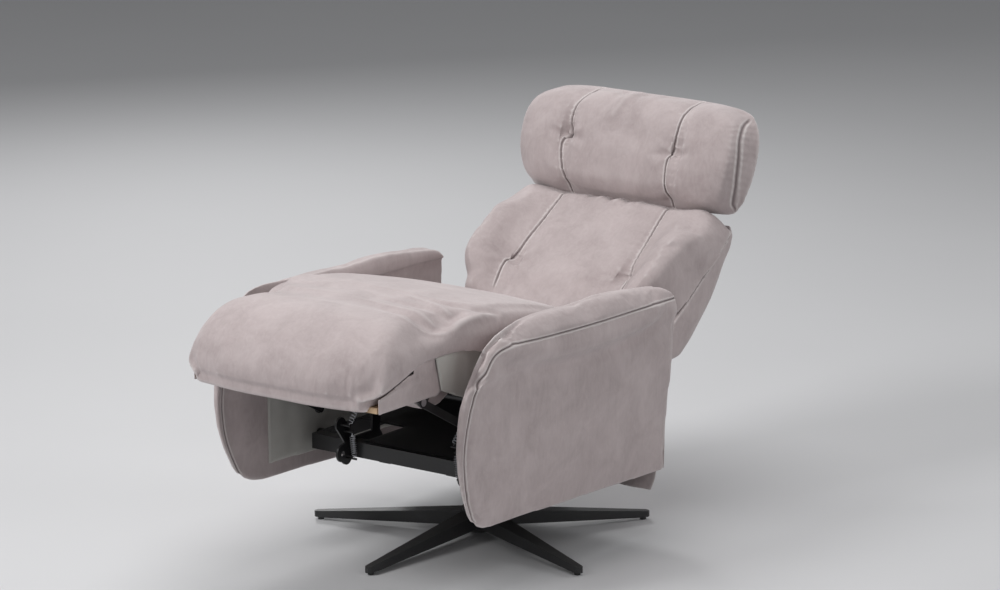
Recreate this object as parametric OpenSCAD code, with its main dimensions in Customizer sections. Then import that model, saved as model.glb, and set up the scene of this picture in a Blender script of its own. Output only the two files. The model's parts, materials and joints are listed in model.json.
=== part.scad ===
// Recliner on a five-legged swivel star, shown reclined with its legrest open.
// The front of the chair faces -Y, the floor is z = 0 and the swivel axis is the Z axis.
// Points written as pairs are [y, z] in the side view.

/* [Star base] */
// Radius of the star over its leg tips
star_r = 390; // [340:1:420]
// Radius of the hub in the middle of the star
hub_r = 38; // [34:1:44]
// Height of the hub's top above the floor
hub_top = 64; // [60:1:70]
// Width of a leg where it leaves the hub
leg_root_w = 46; // [36:1:52]
// Width of a leg at its tip
leg_tip_w = 17; // [14:1:22]
// Height of a leg's top at the hub
leg_root_top = 58; // [48:1:60]
// Height of a leg's underside at the hub
leg_root_low = 24; // [18:1:28]
// Thickness of a leg at its tip
leg_tip_t = 13; // [10:1:16]
// Height of a floor glide
glide_h = 6; // [4:1:10]
// Radius of a floor glide
glide_r = 7; // [5:0.5:8]
// Radius of the swivel post
post_r = 20; // [17:0.5:24]

/* [Chassis] */
// Height of the swivel plate's underside
plate_z = 190; // [186:1:194]
// Side length of the square swivel plate
plate_w = 240; // [220:1:260]
// Thickness of the swivel plate
plate_t = 6; // [5:0.5:6]
// Half the width of the chassis over its side plates
chassis_half_w = 270; // [268:0.5:272]
// Thickness of the side plates and brackets
chassis_t = 5; // [4:0.5:6]
// Height of the cross rails' underside
rail_z = 208; // [206:1:210]
// Height of a cross rail
rail_h = 34; // [30:1:36]
// Depth of a cross rail
rail_d = 30; // [26:1:34]
// Wall of the tubular rails
rail_wall = 3; // [2:0.5:4]
// Distance of the front cross rail ahead of the swivel axis
front_rail_y = 245; // [240:1:250]
// Distance of the rear cross rail's back behind the swivel axis
rear_rail_y = 220; // [216:1:224]

/* [Arms] */
// Half the distance between the inner faces of the arm panels
arm_inner = 300; // [298:1:310]
// Length of an arm panel with its padded strip
arm_l = 768; // [740:1:780]
// Height of an arm from its foot to its top
arm_h = 472; // [460:1:480]
// Height of the arm panel's foot above the floor
arm_foot = 141; // [136:1:150]
// Distance of the arm's rear edge behind the swivel axis
arm_back = 266; // [262:1:270]
// Thickness of the arm panel at its foot
arm_foot_t = 18; // [16:1:24]
// Outward lean of the arm panel's outer face from foot to pad
arm_lean = 29; // [20:1:34]
// How far the soft pad stands out below the top strip
arm_swell = 7; // [4:0.5:9]

/* [Seat and legrest] */
// Distance of the legrest pivot ahead of the swivel axis
knee_y = 450; // [445:1:455]
// Height of the legrest pivot
knee_z = 515; // [512:1:518]
// Radius of the seat cushion's round front
knee_r = 95; // [92:1:95]
// Distance of the recline pivot behind the swivel axis
recline_y = 240; // [238:1:242]
// Height of the recline pivot
recline_z = 400; // [398:1:402]
// Radius of the round lower end of the back cushion
heel_r = 46; // [42:1:46]
// Half the width of the seat and legrest covers over their rounded sides
cover_half_w = 264; // [262:1:272]
// Half the width of the cushion cores between the steel parts
core_half_w = 228; // [220:1:228]
// Length of the legrest from its pivot to its tip
foot_l = 250; // [240:1:256]
// Thickness of the legrest pad
foot_t = 159; // [150:1:162]
// Crown of the seat and legrest over their width
seat_crown = 12; // [4:1:16]

/* [Cross shaft] */
// Distance of the cross shaft ahead of the swivel axis
shaft_y = 200; // [198:1:202]
// Height of the cross shaft
shaft_z = 372; // [370:1:374]
// Radius of the cross shaft
shaft_r = 10; // [8:0.5:11]
// Length of a push crank between its two pivots
push_crank = 85; // [83:0.5:86]
// Length of a lift crank between the shaft and its bush
lift_crank = 47.6; // [47:0.1:48.5]
// Radius of the pins in the linkage
pin_r = 5; // [4:0.25:5.5]
// Radial running clearance of every pin
fit = 0.06; // [0.02:0.01:0.1]

/* [Back] */
// Angle of the reclined back above the horizontal
back_angle = 35.5; // [35:0.5:36]
// Distance of the back's front face from the recline pivot
back_front = 44; // [42:0.5:45]
// Half the width of the back cushion
back_half_w = 288; // [280:1:289]
// Half the width of the back's lower end between the arms
heel_half_w = 250; // [240:1:250]
// Length of the back cushion above the recline pivot
back_l = 388; // [380:1:389]
// Depth of the side bolsters of the back
bolster = 30; // [15:1:34]
// Depth of the sewn seams in the back and head cushions
seam_depth = 8; // [4:0.5:10]
// Extra depth of a sewn tuft
tuft_depth = 9; // [4:0.5:12]

/* [Head] */
// Angle of the head cushion above the horizontal
head_angle = 69; // [66:1:70]
// Distance of the neck pivot above the back cushion's upper end
neck_rise = 25.3; // [25:0.1:27]
// Distance of the neck pivot behind the plane of the recline pivot
neck_set = 6.1; // [5:0.1:7]
// Height of the head cushion
head_h = 260; // [250:1:264]
// Half the width of the head cushion
head_half_w = 284; // [276:1:290]
// Depth of the head cushion in front of its board
head_depth = 68; // [60:1:72]
// Depth of the rear head pad behind its board
nape_depth = 54; // [44:1:58]

/* [Springs] */
// Diameter of the spring wire
wire_d = 2; // [1.6:0.1:2.2]
// Diameter of a spring over its coils
spring_d = 14; // [12:0.5:15]
// Number of coils in a lift spring
lift_coils = 8; // [5:1:8]
// Number of coils in a latch spring
latch_coils = 9; // [5:1:9]

/* [Hidden] */
$fn = 48;

fabric = [0.70, 0.64, 0.63];
lining = [0.72, 0.71, 0.69];
black = [0.08, 0.08, 0.09];
bright = [0.75, 0.75, 0.77];
ply = [0.78, 0.65, 0.48];
nylon = [0.85, 0.85, 0.82];

// Clearance of pieces that lie against each other, and the overrun of every cut
seat_gap = 0.3;
over = 1;
// Width of a bar between its round ends, as a share of theirs; a little less, so the two cross at an angle
bar_flat = 0.97;

// Pivots in the side view
knee = [-knee_y, knee_z];
recline = [recline_y, recline_z];
shaft = [-shaft_y, shaft_z];
neck = back_point(back_l + neck_rise, -neck_set);

// Star base
leg_count = 5;
leg_turn = 125.3;
tip_flat = 30;
tip_chamfer = 5;
glide_inset = 14;
hub_low = 14;
leg_start = hub_r * 0.5;
post_low = hub_low;
flange_r = 62;
flange_t = 6;
ring_t = 4;
ring_low = plate_z - ring_t - seat_gap;
flange_low = ring_low - flange_t;
spigot_r = 10;
spigot_top = plate_z + plate_t + 8;
nut_r = 16;
nut_h = 10;
nut_wall = 3;

// Cross shaft, its cranks and the layers beside the cushions, counted outwards
push_crank_angle = 233;
lift_crank_angle = -45;
spring_crank = 40;
core_gap = 2;
ear_t = 4;
rail_x = core_half_w + core_gap;
link_x = rail_x + ear_t + core_gap;
crank_x = link_x + ear_t + core_gap;
wrap_x = crank_x + ear_t + 1.5;
cloth_t = 2;
lining_x = wrap_x + cloth_t + 1.5;
link_pivot = knee + push_crank * [cos(push_crank_angle), sin(push_crank_angle)];
crank_pivot = shaft + push_crank * [cos(push_crank_angle), sin(push_crank_angle)];
bush_pivot = shaft + lift_crank * [cos(lift_crank_angle), sin(lift_crank_angle)];
spring_pivot = shaft + spring_crank * [cos(push_crank_angle), sin(push_crank_angle)];
link_w = 18;
crank_w = 22;
head_r = 8;
head_t = 1.1;

// Front brackets with their guide forks and spring lugs
fork_x = 164;
bush_r = 7.5;
seat_drop = 9;
fold_angle = 81;
fork_wall = 7;
fork_reach = 34;
fork_tip = 6;
bracket_rise = 46;
lug_r = 2.5;
spring_x = fork_x - 21;
lift_lug = [-front_rail_y - 28, rail_z + rail_h + 42];
latch_lug = [-front_rail_y - 17, rail_z + rail_h + 26];
latch_foot = [-front_rail_y - 9, rail_z - 2];
lobe_r = 20;
lobe_hole_r = 6;
front_lobe = [-front_rail_y - 22, rail_z + 10];

// Seat cushion outline
foot_low = knee_z + knee_r + 4 - foot_t;
heel_gap = 1.5;
knee_gap = 2.6;
knee_end_angle = 325;
heel_low_angle = 190;
heel_high_angle = 164;
crease = recline + [-heel_r * 0.76, heel_r * 1.2];
seat_under_rear = recline + [-90, -28];
seat_top_shares = [[0.07, 0], [0.25, 0.03], [0.395, 0.14], [0.545, 0.28], [0.70, 0.49], [0.885, 0.81]];
border_rise = 16;
border_bend = 78;
border_slope = 0.25;
cover_round_shares = [0.86, 0.96];
rail_w = 34;
rail_front = [-knee_y + 75, knee_z - 66];
rail_rear = recline + [-75, -46];
rear_tube_r = 10;
rear_tube = recline + [-90, -48];
front_tube_r = 8;
front_tube = [-knee_y + 120, knee_z - 77];
ear_w = 24;
eye_r = 14;
strap_count = 6;
strap_w = 55;
strap_t = 2;

// Legrest outline as shares of its length and thickness
foot_outline_shares = [[0.28, 1], [0.48, 1], [0.65, 0.9], [0.79, 0.76], [0.91, 0.56], [0.99, 0.33],
    [1, 0.16], [0.95, 0.04], [0.86, 0]];
lip_angle = 110;
lip_t = 8;
foot_arc_low = 180 + asin((knee_z - foot_low) / (knee_r + knee_gap));
foot_bulge = 12;
corner_r = 52;
corner_start_share = 0.66;
foot_border_drop = 62;
board_t = 12;
board_y0 = -knee_y - foot_l * 0.8;
board_y1 = -knee_y - 110;
pocket_slope = 4;
pocket = [[board_y1 + seat_gap + pocket_slope, foot_low], [board_y1 + seat_gap, foot_low + board_t],
    [board_y0 - seat_gap, foot_low + board_t], [board_y0 - seat_gap - pocket_slope, foot_low]];
foot_arm_w = 14;

// Arm path as shares of the arm's length and height: outer edge, then the seam under the strip
arm_edge_shares = [[0.003, 0.862], [0.013, 0.894], [0.04, 0.909], [0.09, 0.922], [0.21, 0.949],
    [0.335, 0.968], [0.455, 0.987], [0.575, 0.998], [0.685, 0.996], [0.763, 0.981], [0.835, 0.951],
    [0.891, 0.898], [0.935, 0.824], [0.966, 0.744], [0.987, 0.646], [0.997, 0.549], [1, 0.443],
    [0.992, 0.337], [0.973, 0.235], [0.944, 0.142], [0.919, 0.095]];
arm_seam_shares = [[0.003, 0.828], [0.016, 0.831], [0.04, 0.833], [0.09, 0.837], [0.21, 0.841],
    [0.335, 0.843], [0.455, 0.847], [0.575, 0.854], [0.672, 0.862], [0.75, 0.871], [0.805, 0.871],
    [0.857, 0.85], [0.893, 0.799], [0.926, 0.729], [0.951, 0.642], [0.965, 0.553], [0.974, 0.447],
    [0.969, 0.335], [0.953, 0.231], [0.927, 0.131], [0.909, 0.095]];
arm_foot_shares = [[0.891, 0.066], [0.867, 0.049], [0.837, 0.042], [0.021, 0]];
swell_low_share = 0.715;
swell_high_share = 0.745;
arm_pad_inset = 8;
lining_t = 1.5;
lining_outline_shares = [[0.815, 0.11], [0.815, 0.56], [0.06, 0.62], [0.04, 0.08]];
spacer_r = 11;
spacer_bolt_r = 4;
spacer_z = rail_z + rail_h / 2;
spacer_places = [-front_rail_y + 60, 0, rear_rail_y - 40];

// Rear apron
apron_t = 4;
apron_top = recline_z - 50;
apron_flap = 26;
apron_drop = 48;

// Back: the loft's cuts as shares of its length, each with its half width and bolster share
back_cut_shares = [0.08, 0.155, 0.205, 0.27, 0.335, 0.41, 0.49, 0.6, 0.7, 0.8, 0.89, 0.955, 0.98, 1];
back_width_shares = [0, 0, 0, 0.5, 0.8, 0.95, 1, 1, 1, 0.97, 0.94, 0.9, 0.82, 0.7];
back_bolster_shares = [0.1, 0.5, 0.75, 0.92, 1, 1, 0.97, 0.85, 0.65, 0.45, 0.3, 0.22, 0.15, 0];
back_front_shares = [1, 1, 1, 1, 1, 1, 1, 1, 1, 1, 1, 0.99, 0.87, 0.52];
back_seam_shares = [0, 0.3, 1, 1, 1, 1, 1, 1, 1, 1, 0.9, 0.6, 0.2, 0];
back_tuft_share = 0.41;
heel_angles = [-70, -52, -34, -17, 0];
cushion_back = -15.7;
pad_x_shares = [-1, -0.985, -0.93, -0.84, -0.74, -0.63, -0.545, -0.51, -0.475, -0.3, -0.1, 0.1, 0.3,
    0.475, 0.51, 0.545, 0.63, 0.74, 0.84, 0.93, 0.985, 1];
bolster_mid_share = 0.84;
bolster_spread_share = 0.24;
seam_share = 0.51;
tuft_reach = 20;
shell_cut_shares = [0.155, 0.25, 0.345, 0.56, 0.77, 0.93, 1.0, 1.04];
shell_depth_shares = [0.96, 1, 0.95, 0.84, 0.72, 0.62, 0.52, 0.42];
shell_width_shares = [0.965, 0.99, 1, 1, 1, 0.99, 0.97, 0.93];
shell_depth = 108;
shell_wall = 16;
shell_front = -16.2;
frame_r = 10;
frame_x = heel_half_w + 3 - frame_r;
frame_plane = -28.5;
frame_low = 60;
frame_high = back_l - 45;
strap_levels_shares = [0.28, 0.46, 0.64, 0.82];
hinge_x = heel_half_w + 3;
hinge_t = 5;
hinge_top = 70;
seat_ear_x = hinge_x + hinge_t + 1.5;
post_x = chassis_half_w - chassis_t;
bolt_r = 6;
bolt_head_r = 11;
bolt_head_t = 4;

// Head
head_cut_shares = [0.01, 0.03, 0.08, 0.17, 0.31, 0.42, 0.51, 0.6, 0.73, 0.85, 0.92, 0.97, 1];
head_front_shares = [0.57, 0.79, 0.92, 0.98, 1, 1, 0.99, 1, 0.99, 0.95, 0.83, 0.63, 0.34];
head_width_shares = [0.93, 0.955, 0.98, 0.99, 1, 1, 1, 1, 1, 0.995, 0.98, 0.955, 0.92];
head_seam_shares = [0, 0.5, 1, 1, 1, 1, 1, 1, 1, 1, 0.9, 0.6, 0];
head_tuft_share = 0.51;
nape_cut_shares = [0.055, 0.09, 0.17, 0.31, 0.44, 0.58, 0.69, 0.77, 0.82];
nape_depth_shares = [0.45, 0.68, 0.86, 0.95, 1, 0.98, 0.9, 0.72, 0.45];
nape_width_shares = [0.91, 0.935, 0.95, 0.96, 0.96, 0.96, 0.95, 0.935, 0.9];
head_board_t = 12;
board_half_w = 200;
board_low = 30;
board_high = 190;
board_corner = 25;
leaf_t = 4;
leaf_w = 12;
leaf_l = 100;
neck_pin_r = 4;
nape_pad_gap = 0.3;

// Springs
coil_steps = 8;
wire_sides = 6;
half_turn = 4;

// A ring of points on an arc about a centre, from one angle to another
function arc(c, r, from, to, steps) =
    [for (i = [0:steps]) let (a = from + (to - from) * i / steps) c + r * [cos(a), sin(a)]];

// Height of a straight line through two points at a place along it
function along(a, b, y) = a.y + (b.y - a.y) * (y - a.x) / (b.x - a.x);

// Closes a ring: one face, a fan about its last point, or a strip between its two halves
function ring_faces(n, way) =
    way == "face" ? [[for (i = [0:n - 1]) i]]
    : way == "fan" ? [for (i = [0:n - 3]) [n - 1, i, i + 1]]
    : [for (i = [0:floor(n / 2) - 2]) each [[i, i + 1, n - 2 - i], [i, n - 2 - i, n - 1 - i]],
        if (n % 2 == 1) [(n - 3) / 2, (n - 1) / 2, (n + 1) / 2]];

// Closed solid through rings of equal count; each ring turns anticlockwise about the way they follow
module loft(rings, way = "face") {
    n = len(rings[0]);
    last = len(rings) - 1;
    ends = ring_faces(n, way);
    walls = [for (k = [0:last - 1], i = [0:n - 1])
        let (a = k * n + i, b = k * n + (i + 1) % n, c = b + n, d = a + n)
        each [[a, d, c], [a, c, b]]];
    lid = [for (f = ends) [for (i = [len(f) - 1:-1:0]) last * n + f[i]]];
    polyhedron(points = [for (r = rings) each r], faces = [each ends, each walls, each lid]);
}

// A flat piece drawn in the side view, from x outwards
module plate(x, t) {
    translate([x, 0, 0]) rotate([90, 0, 90]) linear_extrude(t) children();
}

// A round bar along X at a point of the side view
module pin(x0, x1, p, r) {
    translate([x0, p.x, p.y]) rotate([0, 90, 0]) cylinder(r = r, h = x1 - x0);
}

// A bar with round ends between two points of the side view
module bar(a, b, w) {
    d = b - a;
    translate(a) circle(d = w);
    translate(b) circle(d = w);
    translate(a) rotate(atan2(d.y, d.x)) translate([0, -w * bar_flat / 2]) square([norm(d), w * bar_flat]);
}

// The left side as drawn, or its mirror image on the right
module on_side(left) {
    if (left) children();
    else mirror([1, 0, 0]) children();
}

module both_sides() {
    children();
    mirror([1, 0, 0]) children();
}

// Turns a piece drawn upright about a pivot to an angle above the horizontal; its front faces -Y
module leaned(p, angle) {
    translate([0, p.x, p.y]) rotate([angle - 90, 0, 0]) children();
}

// Star base
module leg_plan() {
    polygon([[leg_start, -leg_root_w / 2], [star_r - tip_chamfer, -leg_tip_w / 2],
        [star_r, -leg_tip_w / 2 + tip_chamfer], [star_r, leg_tip_w / 2 - tip_chamfer],
        [star_r - tip_chamfer, leg_tip_w / 2], [leg_start, leg_root_w / 2]]);
}

module leg_side() {
    polygon([[leg_start, leg_root_low], [star_r - tip_flat, glide_h], [star_r, glide_h],
        [star_r, glide_h + leg_tip_t], [leg_start, leg_root_top]]);
}

module leg() {
    intersection() {
        linear_extrude(hub_top) leg_plan();
        translate([0, leg_root_w, 0]) rotate([90, 0, 0]) linear_extrude(leg_root_w * 2) leg_side();
    }
}

module star_base() {
    color(black) difference() {
        union() {
            translate([0, 0, hub_low]) cylinder(r = hub_r, h = hub_top - hub_low);
            for (i = [0:leg_count - 1]) rotate(leg_turn + i * 360 / leg_count) leg();
        }
        translate([0, 0, -over]) cylinder(r = post_r + fit, h = hub_top + 2 * over);
    }
}

module floor_glides() {
    color(black) for (i = [0:leg_count - 1])
        rotate(leg_turn + i * 360 / leg_count) translate([star_r - glide_inset, 0, 0])
            cylinder(r = glide_r, h = glide_h);
}

module swivel_post() {
    color(black) {
        translate([0, 0, post_low]) cylinder(r = post_r, h = flange_low - post_low);
        translate([0, 0, flange_low]) cylinder(r = flange_r, h = flange_t);
        translate([0, 0, flange_low]) cylinder(r = spigot_r, h = spigot_top + nut_h - flange_low);
    }
}

module thrust_ring() {
    color(nylon) translate([0, 0, ring_low]) difference() {
        cylinder(r = flange_r, h = ring_t);
        translate([0, 0, -over]) cylinder(r = spigot_r + fit, h = ring_t + 2 * over);
    }
}

// Chassis
module swivel_plate() {
    color(black) translate([0, 0, plate_z]) difference() {
        translate([-plate_w / 2, -plate_w / 2, 0]) cube([plate_w, plate_w, plate_t]);
        translate([0, 0, -over]) cylinder(r = spigot_r + fit, h = plate_t + 2 * over);
    }
}

module swivel_nut() {
    color(bright) translate([0, 0, plate_z + plate_t + seat_gap]) difference() {
        union() {
            cylinder(r = nut_r, h = nut_wall);
            cylinder(r = nut_r * 0.8, h = nut_h, $fn = 6);
        }
        translate([0, 0, -over]) cylinder(r = spigot_r + fit, h = nut_h + 2 * over);
    }
}

module tube_rail(l) {
    difference() {
        cube([l, rail_d, rail_h]);
        translate([-over, rail_wall, rail_wall])
            cube([l + 2 * over, rail_d - 2 * rail_wall, rail_h - 2 * rail_wall]);
    }
}

module cross_rail(y) {
    translate([-post_x, y, rail_z]) tube_rail(2 * post_x);
}

module cross_rail_front() {
    color(black) cross_rail(-front_rail_y);
}

module cross_rail_rear() {
    color(black) cross_rail(rear_rail_y - rail_d);
}

module mid_rails() {
    x = plate_w * 0.32;
    y0 = rail_d - front_rail_y;
    low = plate_z + plate_t;
    color(black) both_sides() translate([x, y0, low]) difference() {
        cube([rail_d, rear_rail_y - rail_d - y0, rail_h]);
        translate([rail_wall, -over, rail_wall])
            cube([rail_d - 2 * rail_wall, front_rail_y + rear_rail_y, rail_h - 2 * rail_wall]);
    }
}

module side_plate(left) {
    foot = [rear_rail_y - 10, rail_z + rail_h / 2];
    color(black) on_side(left) plate(post_x, chassis_t) difference() {
        union() {
            translate([-front_rail_y, rail_z]) square([front_rail_y + arm_back - 17, rail_h]);
            bar(foot, recline, rail_h + over);
            bar([rear_rail_y - 110, rail_z + rail_h / 2], recline - [12, 60], rail_h * 0.6);
        }
        translate(recline) circle(r = bolt_r + fit);
        for (y = spacer_places) translate([y, spacer_z]) circle(r = spacer_bolt_r + fit);
    }
}

// Height of the bush above the floor as the legrest folds and the seat sinks with it
function bush_height(t) =
    let (
        p = shaft + lift_crank * [cos(lift_crank_angle + t), sin(lift_crank_angle + t)] - recline,
        a = t * seat_drop / fold_angle
    )
    recline.y + p.x * sin(a) + p.y * cos(a);
bush_heights = [for (i = [0:fold_angle]) bush_height(i)];
slot_mid = [bush_pivot.x, (min(bush_heights) + max(bush_heights)) / 2];
slot_half = bush_r + (max(bush_heights) - min(bush_heights)) / 2 + seat_gap;

module guide_fork() {
    for (s = [-1, 1]) translate(slot_mid + [-fork_tip, s * (slot_half + fork_wall / 2) - fork_wall / 2])
        square([fork_reach + fork_wall, fork_wall]);
    translate(slot_mid + [fork_reach - fork_tip, -slot_half - fork_wall])
        square([fork_wall, 2 * (slot_half + fork_wall)]);
}

module front_bracket(left) {
    rail_mid = [rail_d / 2 - front_rail_y, rail_z + rail_h / 2];
    column = slot_mid + [fork_reach * 0.55, -slot_half - fork_wall - bracket_rise * 0.2];
    color(black) on_side(left) {
        plate(fork_x, chassis_t) difference() {
            union() {
                guide_fork();
                bar(column, [column.x - 6, rail_mid.y], bracket_rise * 0.6);
                bar([column.x - 6, rail_mid.y], rail_mid, bracket_rise);
                bar(rail_mid, front_lobe, 2 * lobe_r);
                bar(rail_mid, latch_foot, 2 * lobe_r * 0.8);
                bar(rail_mid, lift_lug, 2 * lobe_r * 0.8);
            }
            translate([-front_rail_y - seat_gap, rail_z - seat_gap])
                square([rail_d + 2 * seat_gap, rail_h + 2 * seat_gap]);
            translate(front_lobe + [-over, -over]) circle(r = lobe_hole_r);
        }
        for (p = [lift_lug, latch_lug, latch_foot])
            pin(spring_x - spring_d / 3, fork_x, p, lug_r);
    }
}

module arm_spacers() {
    color(black) both_sides() for (y = spacer_places) {
        p = [y, spacer_z];
        pin(chassis_half_w, arm_inner - lining_t - seat_gap, p, spacer_r);
        pin(post_x - bolt_head_t, chassis_half_w, p, spacer_bolt_r);
        pin(post_x - bolt_head_t, post_x, p, head_r);
    }
}

// Arms
function arm_at(s) = [arm_back - s.x * arm_l, arm_foot + s.y * arm_h];
arm_edge = [for (s = arm_edge_shares) arm_at(s)];
arm_seam = [for (s = arm_seam_shares) arm_at(s)];
arm_flat = arm_inner + arm_foot_t + arm_lean;
swell_low = arm_foot + swell_low_share * arm_h;
swell_high = arm_foot + swell_high_share * arm_h;
function arm_outer(z) =
    z <= swell_low ? arm_inner + arm_foot_t + arm_lean * (z - arm_foot) / (swell_low - arm_foot)
    : min(arm_flat + arm_swell, arm_flat + arm_swell * (z - swell_low) / (swell_high - swell_low));

module arm_panel(left) {
    top = arm_foot + arm_h;
    color(fabric) on_side(left) intersection() {
        plate(arm_inner, arm_foot_t + arm_lean + arm_swell + over)
            polygon([each arm_seam, for (s = arm_foot_shares) arm_at(s)]);
        translate([0, arm_back + over, 0]) rotate([90, 0, 0]) linear_extrude(arm_l + 2 * over)
            polygon([[arm_inner, arm_foot - over], [arm_outer(arm_foot), arm_foot - over],
                [arm_flat, swell_low], [arm_flat + arm_swell, swell_high],
                [arm_flat + arm_swell, top], [arm_inner, top]]);
    }
}

// One cut through the padded strip; its flat side lies on the panel's edge
function strip_cut(k) =
    let (
        i = arm_seam[k],
        o = arm_edge[k],
        depth = norm(o - i),
        dir = (o - i) / depth,
        top_share = max(0, min(1, (i.y - swell_low) / (swell_high - swell_low))),
        x1 = arm_outer(i.y),
        x0 = arm_inner - arm_pad_inset * top_share,
        mid = (x1 + x0) / 2,
        half = (x1 - x0) / 2
    )
    [for (a = [0, 18, 38, 62, 90, 118, 142, 162, 180])
        let (
            c = cos(a),
            side = sign(c) * pow(abs(c), 0.75) * (1 + 0.07 * sin(a)),
            p = i + dir * depth * pow(sin(a), 0.7)
        )
        [mid + half * side, p.x, p.y]];

module arm_pad(left) {
    color(fabric) on_side(left) loft([for (k = [0:len(arm_seam) - 1]) strip_cut(k)]);
}

module arm_lining(left) {
    color(lining) on_side(left) plate(arm_inner - lining_t, lining_t)
        polygon([for (s = lining_outline_shares) arm_at(s)]);
}

module rear_apron() {
    rear_low = arm_back - arm_foot_shares[3].x * arm_l;
    slope = (arm_back - rear_low) / (arm_seam_shares[0].y * arm_h);
    top_y = rear_low + slope * (apron_top - arm_foot) + seat_gap;
    low_y = rear_low + seat_gap;
    turn = [low_y + apron_t, arm_foot];
    color(fabric) {
        plate(-arm_inner - arm_foot_t, 2 * (arm_inner + arm_foot_t))
            polygon([[low_y, arm_foot], [turn.x, turn.y], [top_y + apron_t, apron_top],
                [top_y, apron_top]]);
        plate(-arm_inner + seat_gap, 2 * (arm_inner - seat_gap))
            polygon([[low_y, arm_foot], [low_y - apron_flap * 0.3, arm_foot - apron_drop * 0.55],
                [low_y - apron_flap, arm_foot - apron_drop],
                [low_y - apron_flap + apron_t, arm_foot - apron_drop - apron_t * 0.5],
                [low_y - apron_flap * 0.3 + apron_t, arm_foot - apron_drop * 0.6], turn]);
    }
}

module recline_bolts() {
    end = chassis_half_w;
    color(bright) both_sides() {
        pin(heel_half_w + fit, end + bolt_head_t, recline, bolt_r);
        pin(end + fit, end + bolt_head_t, recline, bolt_head_r);
    }
}

// Springs: a straight end, a half turn out to the coil's radius, the coils, and the same back
function spring_path(l, coils, r, tail) =
    let (
        turns = coils * coil_steps,
        body = l - 2 * tail,
        total = turns + 2 * half_turn
    )
    [[0, 0, 0], for (i = [0:total])
        [i, i < half_turn ? r * i / half_turn : i > total - half_turn ? r * (total - i) / half_turn : r,
            tail + body * i / total], [total, 0, l]];

function spring_ring(s, pitch) =
    let (
        a = s[0] * 360 / coil_steps,
        out = [cos(a), sin(a), 0],
        t = s[1] == 0 ? [0, 0, 1] : [-s[1] * sin(a), s[1] * cos(a), pitch / (2 * PI)],
        way = t / norm(t),
        up = cross(way, out)
    )
    [for (k = [0:wire_sides - 1])
        let (b = k * 360 / wire_sides)
        s[1] * out + [0, 0, s[2]] + wire_d / 2 * (cos(b) * out + sin(b) * up)];

module spring(from, to, coils, label) {
    d = to - from;
    l = norm(d) - 2 * (lug_r + seat_gap);
    tail = wire_d * 2;
    r = (spring_d - wire_d) / 2;
    path = spring_path(l, coils, r, tail);
    pitch = (l - 2 * tail) / (coils * coil_steps + 2 * half_turn) * coil_steps;
    at = [for (s = path) let (a = s[0] * 360 / coil_steps) [s[1] * cos(a), s[1] * sin(a), s[2]]];
    gaps = [for (i = [0:len(at) - 1], j = [i + half_turn + 2:len(at) - 1]) norm(at[i] - at[j]) - wire_d];
    echo(str(label, " least gap to itself in mm: ", min(gaps)));
    start = from + d / norm(d) * (lug_r + seat_gap);
    color(bright) translate([spring_x, start.x, start.y]) rotate([atan2(-d.x, d.y), 0, 0])
        loft([for (s = path) spring_ring(s, pitch)]);
}

module latch_spring(left) {
    on_side(left) spring(latch_foot, latch_lug, latch_coils, "latch spring");
}

module lift_spring(left) {
    on_side(left) spring(lift_lug, spring_pivot, lift_coils, "lift spring");
}

// Seat and legrest soft forms
cover_t = knee_r * 0.7;
cover_mid = cover_t * 0.45;
function seat_border(y) = knee_z + border_rise - max(0, y + knee_y - border_bend) * border_slope;
function foot_border(y) = knee_z + border_rise - max(0, -y - knee_y - ear_w) / foot_l * foot_border_drop;
// How much of its height the cover keeps at a place along X, and how far its underside rises there
function cover_keep(x) = sqrt(1 - pow(max(0, x - core_half_w) / (cover_half_w - core_half_w), 2));
function cover_lift(x) = cover_mid * (1 - cover_keep(x));
foot_arc_r = knee_r + knee_gap;
seat_top = [knee.x, knee.y + knee_r];
// Outline points are [y, z, kind]: 1 where they turn about the knee, 2 round the board's pocket
function about_knee(pts) = [for (p = pts) [p.x, p.y, 1]];
seat_outline = [
    [seat_under_rear.x, seat_under_rear.y, 0],
    for (p = arc(recline, heel_r + heel_gap, heel_low_angle, heel_high_angle, 3)) [p.x, p.y, 0],
    [crease.x, crease.y, 0],
    for (i = [len(seat_top_shares) - 1:-1:0])
        let (s = seat_top_shares[i])
        [seat_top.x + s.x * (crease.x - seat_top.x), seat_top.y + s.y * (crease.y - seat_top.y), 0],
    each about_knee(arc(knee, knee_r, 90, knee_end_angle, 12))];
foot_outline = [
    each about_knee(arc(knee, foot_arc_r, foot_arc_low, lip_angle, 6)),
    each about_knee([knee + (foot_arc_r + lip_t) * [cos(lip_angle), sin(lip_angle)]]),
    for (s = foot_outline_shares) [-knee_y - s.x * foot_l, foot_low + s.y * foot_t, 0],
    for (i = [3:-1:0]) [pocket[i].x, pocket[i].y, 2]];
// What differs between the pads: top angle and lowest height of the cover at the knee, and the front
seat_pad = [90, border_rise, 0];
foot_pad = [lip_angle, foot_border(knee.x - foot_arc_r) - knee_z, foot_l - foot_arc_r - over];

// A point that turns about the knee: the cover's radius shrinks towards its sides
function knee_point(p, k, pad) =
    let (
        v = [p.x, p.y] - knee,
        r0 = norm(v),
        th = v.y < 0 ? 360 + atan2(v.y, v.x) : atan2(v.y, v.x),
        rk = r0 - (knee_r - border_rise - cover_mid) * (1 - k),
        low = pad[1] + cover_mid * (1 - k),
        end0 = 180 - asin(pad[1] / r0),
        endk = 180 - asin(low / rk),
        t = pad[0] + (th - pad[0]) * (endk - pad[0]) / (end0 - pad[0]),
        front = rk * cos(endk)
    )
    th < end0 ? knee + rk * [cos(t), sin(t)]
    : pad[2] > 0 ? knee + [front - 1.5 - (th - end0) * 0.08, low]
    : knee + [v.x > 0 ? v.x : v.x * 0.99 * front / (r0 * cos(end0)), low];

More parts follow.
